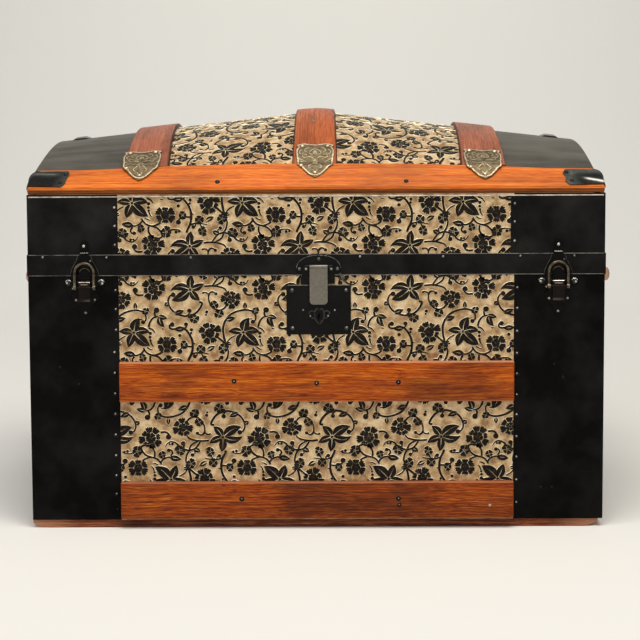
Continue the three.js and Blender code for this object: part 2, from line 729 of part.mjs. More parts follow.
function latchLever() {
  const low = leverEnd + leverCurl;
  const leaf = prism(sideView, [
    [-leverBack, latchAxisHeight], [-leverBack, low], [-leverBack - leverCurl, leverEnd],
    [-leverBack - leverThickness - leverCurl, leverEnd + leverThickness / 2],
    [-leverBack - leverThickness, low + leverThickness / 2],
    [-leverBack - leverThickness, latchAxisHeight]], -leverHalf, leverHalf);
  const stud = loopHalf + loopWire / 2 + gap;
  return cut(
    join(leaf,
      bar('x', -leverHalf, leverHalf, leverRadius, -latchAxis, latchAxisHeight),
      bar('x', -stud, stud, latchPinRadius, -loopAxis, loopAxisHeight)),
    bar('x', -leverWidth, leverWidth, leverBore, -latchAxis, latchAxisHeight));
}

function latchLoop() {
  const shoulder = loopTop - loopWidth / 2;
  const route = [
    [loopHalf, loopAxisHeight], [loopHalf, (loopAxisHeight + shoulder) / 2],
    ...arc(0, shoulder, loopHalf, 0, Math.PI, 12),
    [-loopHalf, (loopAxisHeight + shoulder) / 2], [-loopHalf, loopAxisHeight]];
  const rings = route.map(([x, z], i) => {
    const before = route[Math.max(i - 1, 0)];
    const after = route[Math.min(i + 1, route.length - 1)];
    const length = Math.hypot(after[0] - before[0], after[1] - before[1]);
    const [nx, nz] = [(before[1] - after[1]) / length, (after[0] - before[0]) / length];
    return arc(0, 0, loopWire / 2, 0, 2 * Math.PI, loopSides).slice(1).map(([u, v]) => (
      new THREE.Vector3(x + u * nx, -loopAxis + v, z + u * nz)));
  });
  const eye = middle => bar('x', middle - loopWire / 2, middle + loopWire / 2, loopEyeRadius,
    -loopAxis, loopAxisHeight);
  return cut(join(tube(rings), eye(loopHalf), eye(-loopHalf)),
    bar('x', -loopWidth, loopWidth, leverBore, -loopAxis, loopAxisHeight));
}

function latchKeeper() {
  const back = front + bandOuter + gap;
  const face = back + latchThickness;
  const plate = prism(frontView, bothSides([
    ...keeperShares.map(([u, v]) => [u * keeperHalf, keeperLow + v * keeperHeight]),
    [keeperNeckHalf, keeperTop],
    ...arc(0, knobHeight, keeperNeckHalf, 0, Math.PI / 2, 4)]), back, face);
  const tongue = prism(frontView, [
    [-tongueHalf, tongueLow], [tongueHalf, tongueLow],
    ...arc(0, tongueTop - tongueHalf, tongueHalf, 0, Math.PI, 12)],
  back + latchThickness / 2, face + tongueThickness);
  const knob = bar('y', -face - knobRise, -front - gap, knobRadius, 0, knobHeight);
  return join(plate, tongue, knob);
}

for (const [name, x] of [['left', latchShift - latchSpread], ['right', latchShift + latchSpread]]) {
  place(body, `${name}_latch_base`, latchBase(), blackTin(), x);
  place(body, `${name}_latch_lever`, latchLever(), blackTin(), x);
  place(body, `${name}_latch_loop`, latchLoop(), oldBrass(), x);
  place(lid, `${name}_latch_keeper`, latchKeeper(), blackTin(), x);
}

// Handles: leather grips at mid depth on both ends, whose round ends turn in metal sockets
const handleDrop = 25.5;
const gripEndRadius = 6;
const gripHalfHeight = 10;
const gripHalfThickness = 5;
const gripBulge = 32;
const gripCurveHalf = 72;
const gripEnd = 95;
const gripRun = 0.6;
const socketWall = 1.5;
const socketIn = 74;
const socketOut = 99;
const socketPlateThickness = 1.2;
const socketPlateIn = 66;
const socketPlateOut = 106;
const socketPlateHeight = 46;
const gripSides = 12;

const handleHeight = jointHeight - handleDrop;
const socketBore = gripEndRadius + gripRun;
const socketOuter = socketBore + socketWall;
const gripAxis = side + gap + socketPlateThickness + socketBore;

function grip() {
  const stations = [-gripEnd, ...span(-gripCurveHalf, gripCurveHalf, 16), gripEnd];
  const swell = y => (Math.abs(y) > gripCurveHalf ? 0
    : (1 + Math.cos(Math.PI * y / gripCurveHalf)) / 2);
  return tube(stations.map(y => {
    const share = swell(y);
    const slope = Math.abs(y) > gripCurveHalf ? 0 : -gripBulge * Math.PI / gripCurveHalf
      * Math.sin(Math.PI * y / gripCurveHalf) / 2;
    const length = Math.hypot(1, slope);
    const halfHeight = gripEndRadius + (gripHalfHeight - gripEndRadius) * share;
    const halfThickness = gripEndRadius + (gripHalfThickness - gripEndRadius) * share;
    return arc(0, 0, 1, 0, 2 * Math.PI, gripSides).slice(1).map(([u, v]) => new THREE.Vector3(
      gripAxis + gripBulge * share + u * halfThickness / length,
      y - u * halfThickness * slope / length,
      handleHeight + v * halfHeight));
  }));
}

function gripSocket() {
  const plate = box(side + gap, side + gap + socketPlateThickness, socketPlateIn, socketPlateOut,
    handleHeight - socketPlateHeight / 2, handleHeight + socketPlateHeight / 2);
  const barrel = cut(
    bar('y', socketIn, socketOut, socketOuter, gripAxis, handleHeight),
    box(gripAxis - 2 * socketOuter, side + gap, 0, side,
      handleHeight - socketOuter, handleHeight + socketOuter));
  return cut(join(plate, barrel),
    bar('y', socketIn - overrun, gripEnd + gripRun, socketBore, gripAxis, handleHeight));
}

for (const [name, sign] of [['left', -1], ['right', 1]]) {
  place(body, `${name}_handle`, mirrored(grip(), sign, 1), leather());
  place(body, `${name}_handle_front_socket`, mirrored(gripSocket(), sign, -1), blackTin());
  place(body, `${name}_handle_back_socket`, mirrored(gripSocket(), sign, 1), blackTin());
}

// Hinges on the back: the lower leaf has the outer knuckles and the pin
const hingeSpreadShare = 0.64;
const hingeWidth = 60;
const hingeLeafHeight = 38;
const hingeLeafThickness = 2;
const hingeKnuckleRadius = 4;
const hingePinRadius = 2;
const hingeBoreRadius = 2.4;
const hingeMiddleShare = 0.36;
const hingeLeafStart = 5;

const hingeSpread = side * hingeSpreadShare;
const hingeAxis = front + bandOuter + gap + hingeKnuckleRadius;
const hingeHalf = hingeWidth / 2;
const hingeMiddle = hingeHalf * hingeMiddleShare;

function lowerHingeLeaf() {
  const back = front + gap;
  const web = (from, to) => join(
    bar('x', from, to, hingeKnuckleRadius, hingeAxis, jointHeight),
    prism(sideView, [
      [back, jointHeight - 2 * hingeLeafStart], [back + hingeLeafThickness,
        jointHeight - 2 * hingeLeafStart], [hingeAxis + hingeKnuckleRadius / 2,
        jointHeight - hingeKnuckleRadius / 2], [hingeAxis - hingeKnuckleRadius / 2,
        jointHeight - hingeKnuckleRadius / 4], [back, jointHeight - hingeLeafStart]], from, to));
  return join(
    box(-hingeHalf, hingeHalf, back, back + hingeLeafThickness,
      jointHeight - hingeLeafHeight, jointHeight - 2 * hingeLeafStart + gap),
    web(-hingeHalf, -hingeMiddle - knuckleGap),
    web(hingeMiddle + knuckleGap, hingeHalf),
    bar('x', -hingeHalf, hingeHalf, hingePinRadius, hingeAxis, jointHeight));
}

function upperHingeLeaf() {
  const back = front + bandOuter + gap;
  const web = prism(sideView, [
    [back, jointHeight + hingeLeafStart + hingeLeafThickness],
    [back, jointHeight], [hingeAxis, jointHeight],
    [hingeAxis + hingeKnuckleRadius / 2, jointHeight + hingeKnuckleRadius / 2],
    [back + hingeLeafThickness, jointHeight + hingeLeafStart + hingeLeafThickness],
  ].reverse(), -hingeMiddle, hingeMiddle);
  return cut(
    join(
      box(-hingeHalf, hingeHalf, back, back + hingeLeafThickness,
        jointHeight + hingeLeafStart, jointHeight + hingeLeafHeight),
      bar('x', -hingeMiddle, hingeMiddle, hingeKnuckleRadius, hingeAxis, jointHeight), web),
    bar('x', -hingeWidth, hingeWidth, hingeBoreRadius, hingeAxis, jointHeight));
}

for (const [name, x] of [['left', -hingeSpread], ['right', hingeSpread]]) {
  place(body, `${name}_hinge_lower`, lowerHingeLeaf(), blackTin(), x);
  place(lid, `${name}_hinge_upper`, upperHingeLeaf(), blackTin(), x);
}

const trunk = new THREE.Group();
trunk.add(body, lid);
export default trunk;
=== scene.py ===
# Dome top trunk: the look of its boards, sheet metal, slats, clamps, lock, latches and handles
import math

import bmesh
import bpy
from mathutils import Matrix, Vector


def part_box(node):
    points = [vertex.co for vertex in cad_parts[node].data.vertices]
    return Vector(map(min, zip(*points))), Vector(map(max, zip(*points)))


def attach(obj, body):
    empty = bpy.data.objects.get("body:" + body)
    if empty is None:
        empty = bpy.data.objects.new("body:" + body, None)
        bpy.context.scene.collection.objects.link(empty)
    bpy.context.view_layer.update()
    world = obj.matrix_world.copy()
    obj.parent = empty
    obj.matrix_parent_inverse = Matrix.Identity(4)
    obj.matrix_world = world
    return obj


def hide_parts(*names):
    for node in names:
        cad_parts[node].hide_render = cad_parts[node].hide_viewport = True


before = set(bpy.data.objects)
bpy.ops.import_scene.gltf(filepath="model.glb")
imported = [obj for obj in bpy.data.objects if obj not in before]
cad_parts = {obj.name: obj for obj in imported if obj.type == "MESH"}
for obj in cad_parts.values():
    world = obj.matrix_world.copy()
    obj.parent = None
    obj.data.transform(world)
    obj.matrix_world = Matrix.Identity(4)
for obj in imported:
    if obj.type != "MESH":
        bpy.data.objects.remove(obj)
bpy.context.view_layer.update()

# Camera and studio: a pale floor that sweeps up into a pale backdrop, a broad soft lamp over
# the front like a ceiling panel, and a weak one from the left. The lens and the place follow
# from the trunk's edges in the photograph.
MM = 0.001
camera_place = (0.0219, -2.5315, 0.6315)
camera_pitch, camera_yaw, camera_roll = 5.0, 0.40, -0.28
frame_pixels, focal_pixels, content_raised = 640, 1644.8, 92.6


def linear(code):
    """An sRGB hex colour as linear RGBA."""
    parts = [int(code[i:i + 2], 16) / 255 for i in (1, 3, 5)]
    return [p / 12.92 if p <= 0.04045 else ((p + 0.055) / 1.055) ** 2.4 for p in parts] + [1.0]


def add(tree, kind, links=None, stops=None, **settings):
    """Adds a node, a shader node if kind has no prefix. Its sockets get values, colour codes,
    outputs or nodes, which stand for their first output."""
    made = tree.nodes.new(kind if "Node" in kind else "ShaderNode" + kind)
    for name, value in settings.items():
        setattr(made, name, value)
    if stops:
        ramp = made.color_ramp.elements
        while len(ramp) < len(stops):
            ramp.new(0.5)
        for element, (place, code) in zip(ramp, stops):
            element.position = place
            element.color = linear(code) if isinstance(code, str) else [code] * 3 + [1.0]
    for key, value in (links or {}).items():
        if isinstance(value, bpy.types.Node):
            value = value.outputs[0]
        if isinstance(value, bpy.types.NodeSocket):
            tree.links.new(value, made.inputs[key])
        else:
            is_code = isinstance(value, str) and value.startswith("#")
            made.inputs[key].default_value = linear(value) if is_code else value
    return made


def new_material(name):
    """An empty node material, its tree and the place in metres that its patterns follow."""
    material = bpy.data.materials.new(name)
    material.use_nodes = True
    tree = material.node_tree
    tree.nodes.clear()
    return material, tree, add(tree, "TexCoord").outputs["Object"]


def linked(name, data):
    """A new object that holds a mesh, a lamp or a camera."""
    made = bpy.data.objects.new(name, data)
    bpy.context.collection.objects.link(made)
    return made


def new_object(name, verts, faces, materials, indices=None):
    """A piece from points in metres and faces, with its materials."""
    mesh = bpy.data.meshes.new(name)
    mesh.from_pydata([tuple(v) for v in verts], [], faces)
    for material in materials:
        mesh.materials.append(material)
    if indices:
        mesh.polygons.foreach_set("material_index", indices)
    mesh.update()
    return linked(name, mesh)


def evenly(start, end, steps):
    return [start + (end - start) * i / steps for i in range(steps + 1)]


def pale_backdrop():
    """Matt pale paper that keeps the trunk's shadow."""
    material, tree, _ = new_material("pale_paper")
    paper = add(tree, "BsdfDiffuse", {"Color": "#EDECE8", "Roughness": 0.6})
    add(tree, "OutputMaterial", {"Surface": paper})
    return material


def sweep():
    """The floor and the backdrop in one sheet with a curved foot."""
    half, near, far, radius, top = 8.0, -7.0, 4.6, 1.6, 6.0
    profile = [(near, 0.0)] + [
        (far - radius + radius * math.sin(angle), radius * (1 - math.cos(angle)))
        for angle in evenly(0, math.pi / 2, 12)] + [(far, top)]
    floor = new_object("backdrop", [(x, y, z) for y, z in profile for x in (-half, half)],
                       [(2 * i, 2 * i + 1, 2 * i + 3, 2 * i + 2)
                        for i in range(len(profile) - 1)], [pale_backdrop()])
    floor.data.polygons.foreach_set("use_smooth", [True] * len(floor.data.polygons))


def lamp(name, place, aim, size, power, colour):
    """A square soft lamp at a place, turned to a point."""
    data = bpy.data.lights.new(name, "AREA")
    data.shape = "SQUARE"
    data.size = size
    data.energy = power
    data.color = linear(colour)[:3]
    turn = (Vector(aim) - Vector(place)).to_track_quat("-Z", "Y").to_matrix().to_4x4()
    linked(name, data).matrix_world = Matrix.Translation(place) @ turn


def studio_world():
    """Even pale light from all round; camera, glossy and transmission rays see pale paper."""
    world = bpy.data.worlds.new("studio")
    bpy.context.scene.world = world
    world.use_nodes = True
    tree = world.node_tree
    tree.nodes.clear()
    path = add(tree, "LightPath")
    seen = path.outputs["Is Camera Ray"]
    for ray in ("Is Glossy Ray", "Is Transmission Ray"):
        seen = add(tree, "Math", {0: seen, 1: path.outputs[ray]}, operation="MAXIMUM")
    light = add(tree, "Background", {"Color": "#FFFFFF", "Strength": 0.34})
    paper = add(tree, "Background", {"Color": "#E9E6E0", "Strength": 0.9})
    add(tree, "OutputWorld", {"Surface": add(tree, "MixShader", {0: seen, 1: light, 2: paper})})


lens = bpy.data.cameras.new("camera")
lens.sensor_width = 36
lens.lens = focal_pixels / frame_pixels * lens.sensor_width
lens.shift_y = -content_raised / frame_pixels
camera = linked("camera", lens)
camera.matrix_world = (
    Matrix.Translation(camera_place)
    @ Matrix.Rotation(math.radians(camera_yaw), 4, "Z")
    @ Matrix.Rotation(math.radians(90 - camera_pitch), 4, "X")
    @ Matrix.Rotation(math.radians(camera_roll), 4, "Z"))
bpy.context.scene.camera = camera
bpy.context.scene.view_settings.view_transform = "Standard"
sweep()
studio_world()
lamp("ceiling_panel", (0.2, -1.25, 2.7), (0, -0.1, 0.35), 1.8, 64, "#FFF8EE")
lamp("left_window", (-2.4, -1.6, 1.3), (0, -0.2, 0.3), 1.4, 12, "#F4F8FF")
lamp("backdrop_wash", (0, 2.9, 3.2), (0, 4.6, 1.2), 2.4, 45, "#FFFDF8")

# Boards: bare pine that has gone brown, sawn and planed. The wood shows long fibres, darker
# growth lines and stained pores; the slats are made of the same wood with other stains.


def stained_wood(name, along, tones, line_gap, dirt, rough=(0.38, 0.6), coat=0.0,
                 sway=6 * MM, from_uv=False, rubbed=None):
    """Wood whose fibres run along an axis; tones go from the dark lines to the light fibres.

    Where the mesh attribute "rubbed" is above 0, the colour given as rubbed shows.
    """
    material, tree, place = new_material(name)
    if from_uv:
        place = add(tree, "UVMap", uv_map="grain")
    lengthwise = {"x": (1, 0, 0), "y": (0, 1, 0)}[along]

    def stretched(length, width, start=place):
        """A place divided by a length along the fibres and a width across them."""
        scale = [share / length + (1 - share) / width for share in lengthwise]
        return add(tree, "VectorMath", {0: start, 1: scale}, operation="MULTIPLY")

    wander = add(tree, "TexNoise", {"Vector": stretched(0.16, 0.045), "Scale": 1.0, "Detail": 2.0})
    swung = add(tree, "VectorMath", {0: wander.outputs["Color"], 1: [sway] * 3},
                operation="MULTIPLY")
    moved = add(tree, "VectorMath", {0: place, 1: swung}, operation="ADD")
    lines = add(tree, "TexNoise", {"Vector": stretched(math.inf, line_gap, moved), "Scale": 1.0,
                                   "Detail": 3.0, "Roughness": 0.62})
    fibres = add(tree, "TexNoise", {"Vector": stretched(0.024, 0.75 * MM, moved), "Scale": 1.0,
                                    "Detail": 3.0, "Roughness": 0.65})
    patches = add(tree, "TexNoise", {"Vector": stretched(0.11, 0.028), "Scale": 1.0,
                                     "Detail": 3.0})
    blended = add(tree, "Mix", {0: 0.56, 2: lines, 3: fibres}, data_type="FLOAT")
    tone = add(tree, "ValToRGB", {0: blended}, stops=list(zip((0.36, 0.45, 0.53, 0.64), tones)))
    grime = add(tree, "ValToRGB", {0: patches}, stops=[(0.34, 1 - dirt), (0.56, 1.0)])
    shown = add(tree, "Mix", {0: 1.0, 6: tone, 7: grime}, data_type="RGBA",
                blend_type="MULTIPLY").outputs[2]
    if rubbed:
        bared = add(tree, "Attribute", attribute_name="rubbed").outputs[2]
        shown = add(tree, "Mix", {0: bared, 6: shown, 7: rubbed}, data_type="RGBA").outputs[2]
    dull = add(tree, "MapRange", {0: fibres, 1: 0.35, 2: 0.65, 3: rough[1], 4: rough[0]})
    bump = add(tree, "Bump", {"Height": blended, "Strength": 0.35, "Distance": 0.4 * MM})
    add(tree, "OutputMaterial", {"Surface": add(tree, "BsdfPrincipled", {
        "Base Color": shown, "Roughness": dull, "Normal": bump, "Specular IOR Level": 0.22,
        "Coat Weight": coat, "Coat Roughness": 0.28})})
    return material


def dress(node, material):
    """Gives a part of the fixed model its finish."""
    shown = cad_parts[node]
    if not shown.material_slots:
        shown.data.materials.append(material)
    for held in shown.material_slots:
        held.material = material


pine_tones = ("#7A5232", "#A5784C", "#BC9060", "#D0A878")
for along, boards in (("x", ("body_front", "body_back", "lid_front", "lid_back", "dome")),
                      ("y", ("body_left", "body_right", "lid_left", "lid_right"))):
    pine = stained_wood("bare_pine_" + ("lengthwise" if along == "x" else "crosswise"), along,
                        pine_tones, 3.2 * MM, dirt=0.25)
    for board in boards:
        dress(board + ("_boards" if board == "dome" else "_board"), pine)

# Bottom board: worn pine stained red brown, its underside rounded up towards both ends where
# it was dragged over floors.
sharp_angle = math.radians(35)


def reworked(mesh, change):
    """Opens a mesh for editing, hands it to a function and writes it back."""
    work = bmesh.new()
    work.from_mesh(mesh)
    change(work)
    work.to_mesh(mesh)
    work.free()


def shade(piece):
    """Smooth shading that breaks at sharp edges."""
    def marked(work):
        for face in work.faces:
            face.smooth = True
        for edge in work.edges:
            edge.smooth = len(edge.link_faces) == 2 and edge.calc_face_angle() < sharp_angle
    reworked(piece.data, marked)


def face_out(piece):
    """Turns the faces of closed shells outwards."""
    reworked(piece.data, lambda work: bmesh.ops.recalc_face_normals(work, faces=work.faces))
    return piece


def looped(name, rings, materials):
    """A closed bar through rings of points."""
    size = len(rings[0])
    faces = [(size * i + j, size * i + size + j, size * i + size + (j + 1) % size,
              size * i + (j + 1) % size) for i in range(len(rings) - 1) for j in range(size)]
    faces += [tuple(range(size)), tuple(size * (len(rings) - 1) + j
                                        for j in reversed(range(size)))]
    piece = face_out(new_object(name, [p for ring in rings for p in ring], faces, materials))
    shade(piece)
    return piece


def mark(piece, attribute, values):
    """Writes one number per point, for a material to read."""
    held = piece.data.attributes.new(attribute, "FLOAT", "POINT")
    held.data.foreach_set("value", values)


def seat(piece, body, node=None):
    """Says what carries a piece and which part it replaces, which it hides."""
    if node:
        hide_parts(node)
    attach(piece, body)
    return piece


worn_red_wood = stained_wood("worn_red_stained_pine", "x",
                             ("#34170C", "#66301C", "#94502F", "#C07C54"), 2.6 * MM,
                             rough=(0.45, 0.7), dirt=0.55, rubbed="#C58E6C")


def bottom_board():
    """A long board whose underside rises in a curve at each end, where it is rubbed pale."""
    (left, front, _), (right, back, thick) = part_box("bottom_board")
    overhang, pale_run, worn, columns = 6 * MM, 60 * MM, 1 * MM, 60
    end_curves = ((18 * MM, 6.2 * MM), (25 * MM, 7.4 * MM))
    left -= overhang
    rings = []
    for i in range(columns + 1):
        x = left + (right - left) * (1 - math.cos(math.pi * i / columns)) / 2
        curve_run, curve_rise = end_curves[0 if x < 0 else 1]
        foot = curve_rise * max(0.0, 1 - min(x - left, right - x) / curve_run) ** 2
        rings.append([(x, y, z) for y, z in (
            (front, foot + worn), (front + worn, foot), (back - worn, foot), (back, foot + worn),
            (back, thick - worn), (back - worn, thick), (front + worn, thick),
            (front, thick - worn))])
    piece = looped("bottom_board_worn", rings, [worn_red_wood])
    mark(piece, "rubbed", [0.8 * max(0.0, 1 - min(x - left, right - x) / pale_run) ** 0.7
                           for ring in rings for x, y, z in ring])
    seat(piece, "box", "bottom_board")


bottom_board()

# Black covers of the body: thin sheet iron, japanned (baked black varnish) and waxed, now with
# faint rubbed patches, hand dents and dust, folded round the corners and nailed.


def japanned_tin(name, base, rubbed, rough=(0.30, 0.5), shine=0.09):
    """Old black varnish on sheet iron: satin, rubbed in patches, softly dented. Given pale tones it
    also makes the painted highlights on nail heads.
    """
    material, tree, place = new_material(name)
    cloud, speck, dents = [add(tree, "TexNoise", {"Vector": place, "Scale": scale,
                                                  "Detail": detail, "Roughness": grain})
                           for scale, detail, grain in ((14.0, 5.0, 0.6), (420.0, 2.0, 0.5),
                                                        (11.0, 1.5, 0.5))]
    rub = add(tree, "ValToRGB", {0: cloud}, stops=[(0.40, base), (0.68, rubbed)])
    worn = add(tree, "MapRange", {0: speck, 1: 0.66, 2: 0.74, 3: 0.0, 4: 0.4})
    tone = add(tree, "Mix", {0: worn, 6: rub, 7: "#302B27"}, data_type="RGBA")
    dull = add(tree, "MapRange", {0: cloud, 1: 0.35, 2: 0.7, 3: rough[0], 4: rough[1]})
    heights = add(tree, "Math", {0: speck, 1: 0.02, 2: dents}, operation="MULTIPLY_ADD")
    bump = add(tree, "Bump", {"Height": heights, "Strength": 0.45, "Distance": 4 * MM})
    add(tree, "OutputMaterial", {"Surface": add(tree, "BsdfPrincipled", {
        "Base Color": tone.outputs[2], "Roughness": dull, "Specular IOR Level": shine,
        "Normal": bump})})
    return material


black_tin = japanned_tin("black_japanned_tin", "#0A0A0A", "#232120")
# The body's side covers get a darker black than the lid's: painted shade for the light that falls off
# towards the bottom.
painted_shade_black_tin = japanned_tin("deep_black_japanned_tin", "#040404", "#1A1918", shine=0.06)
for side in ("left", "right"):
    dress("body_" + side + "_tin", painted_shade_black_tin)
    dress("lid_" + side + "_tin", black_tin)

# Embossed panels: tinplate rolled with a raised scroll of leaves, blossoms and vines, a
# pattern common on such trunks. The ground is lacquered tan and the raised tops are black paint.
# Their sloping edges are pale, partly rubbed tin and partly painted highlight. One repeat is
# drawn flat, laid side by side and cut.
repeat_width, repeat_height = 155.0, 122.0
reach_across, reach_up = 105 * MM, 112 * MM
relief, edge_run, sunk = 0.9, 0.78, 0.25


class Embossing:
    """Closed shells with dark tops (kind 0) and pale sloping sides (kind 1), drawn flat."""

    def __init__(self, boldness=1.0):
        self.boldness = boldness
        self.verts, self.faces, self.kinds, self.count = [], [], [], 0

    def level(self):
        """Each shell stands a hair higher or lower than the last, so none coincide."""
        self.count += 1
        return relief - 0.018 * (self.count % 9)

    def raised(self, outline):
        """A shell over a flat outline."""
        area = sum(a[0] * b[1] - b[0] * a[1] for a, b in zip(outline, outline[1:] + outline[:1]))
        if area < 0:
            outline = outline[::-1]
        size, first, top = len(outline), len(self.verts), self.level()
        self.verts += [(u, v, top) for u, v in outline]
        for i, here in enumerate(outline):
            normal = Vector((0.0, 0.0))
            for a, b in ((outline[i - 1], here), (here, outline[(i + 1) % size])):
                normal += Vector((b[1] - a[1], a[0] - b[0])).normalized()
            normal.normalize()
            self.verts.append((here[0] + normal.x * edge_run, here[1] + normal.y * edge_run, -sunk))
        self.faces += [tuple(range(first, first + size))] + [
            (first + i, first + size + i, first + size + (i + 1) % size, first + (i + 1) % size)
            for i in range(size)] + [tuple(reversed(range(first + size, first + 2 * size)))]
        self.kinds += [0] + [1] * (size + 1)

    def vine(self, points, width, thin, knob=0.0, steps=4):
        """A stem through the points that thins towards its end, which may carry a knob."""
        line = smooth_line(points, steps)
        first, top, ends = len(self.verts), self.level(), len(line) - 1
        for i, (u, v) in enumerate(line):
            run = (Vector(line[min(i + 1, ends)]) - Vector(line[max(i - 1, 0)])).normalized()
            half = self.boldness * (width + (thin - width) * (i / ends) ** 2.2) / 2
            for across, height in ((half + edge_run, -sunk), (half, top), (-half, top),
                                   (-half - edge_run, -sunk)):
                self.verts.append((u - run.y * across, v + run.x * across, height))
        for i in range(ends):
            for j, kind in ((0, 1), (1, 0), (2, 1), (3, 1)):
                a, b = first + 4 * i + j, first + 4 * i + (j + 1) % 4
                self.faces.append((a, a + 4, b + 4, b))
                self.kinds.append(kind)
        last = first + 4 * ends
        self.faces += [(first + 3, first + 2, first + 1, first),
                       (last, last + 1, last + 2, last + 3)]
        self.kinds += [1, 1]
        if knob:
            self.disc(line[-1], knob * self.boldness ** 1.5)

    def round(self, centre, reaches, turn=0.0):
        """A shell through points at even angles round a centre."""
        self.raised([(centre[0] + reach * math.cos(2 * math.pi * i / len(reaches) + turn),
                      centre[1] + reach * math.sin(2 * math.pi * i / len(reaches) + turn))
                     for i, reach in enumerate(reaches)])

    def disc(self, centre, radius, sides=9):
        self.round(centre, [radius] * sides)

    def leaf(self, base, angle, length, width, curl=0.0, rib=0.5):
        """A pointed leaf in two halves with the ground showing as its midrib."""
        steps, spine = 8, []
        for i in range(steps + 1):
            t = i / steps
            swing = math.radians(angle) + math.radians(curl) * t * t
            half = self.boldness ** 0.5 * width / 2 * math.sin(math.pi * t ** 0.82) ** 0.85 + 0.05
            spine.append((base[0] + length * t * math.cos(swing),
                          base[1] + length * t * math.sin(swing), swing, half))
        for side in (-1, 1):
            inner, outer = [], []
            for i, (u, v, swing, half) in enumerate(spine):
                slit = rib * max(0.0, 1 - i / steps / 0.78)
                for line, reach in ((inner, slit), (outer, max(half, slit + 0.15))):
                    line.append((u - math.sin(swing) * side * reach,
                                 v + math.cos(swing) * side * reach))
            self.raised(inner[:-1] + [spine[-1][:2]] + outer[1:-1][::-1] + [outer[0]])

    def flower(self, centre, radius, petals, turn, core, notch):
        """Full petals round a core, each with a notched outer edge, parted by thin lines."""
        inner, wide, gap = radius * core + 0.3, math.pi / petals, 0.1
        for k in range(petals):
            middle = math.radians(turn) + 2 * math.pi * k / petals
            full = radius * (1 + 0.13 * math.sin(2.3 * k + turn + centre[0]))
            polar = [(share * (wide - gap / 2 / (full * reach)), full * reach)
                     for share, reach in ((-0.96, 0.82), (-0.74, 0.97), (-0.42, 0.9), (-0.2, 1.0),
                                          (0, 1 - notch), (0.25, 1.02), (0.5, 0.92),
                                          (0.74, 0.98), (0.96, 0.82))]
            tight = max(wide - gap / 2 / inner, 0.12)
            polar += [(0.96 * tight, inner), (-0.96 * tight, inner)]
            self.raised([(centre[0] + reach * math.cos(middle + angle),
                          centre[1] + reach * math.sin(middle + angle))
                         for angle, reach in polar])
        self.round(centre, [radius * core * 0.72, radius * core] * 5, turn)

    def blossom(self, centre, leaves):
        """Long pointed leaves from one point."""
        for angle, length, width, curl in leaves:
            turn = math.radians(angle)
            self.leaf((centre[0] + 1.6 * math.cos(turn), centre[1] + 1.6 * math.sin(turn)),
                      angle, length, width, curl)
        self.disc(centre, 2.0)


def smooth_line(points, steps):
    """A Catmull-Rom line through points in a plane."""
    line = []
    for i in range(len(points) - 1):
        p0, p1 = points[max(i - 1, 0)], points[i]
        p2, p3 = points[i + 1], points[min(i + 2, len(points) - 1)]
        line += [tuple(0.5 * (2 * b + (c - a) * t + (2 * a - 5 * b + 4 * c - d) * t * t
                              + (3 * b - a - 3 * c + d) * t ** 3)
                       for a, b, c, d in zip(p0, p1, p2, p3))
                 for t in (s / steps for s in range(steps))]
    return line + [tuple(points[-1])]


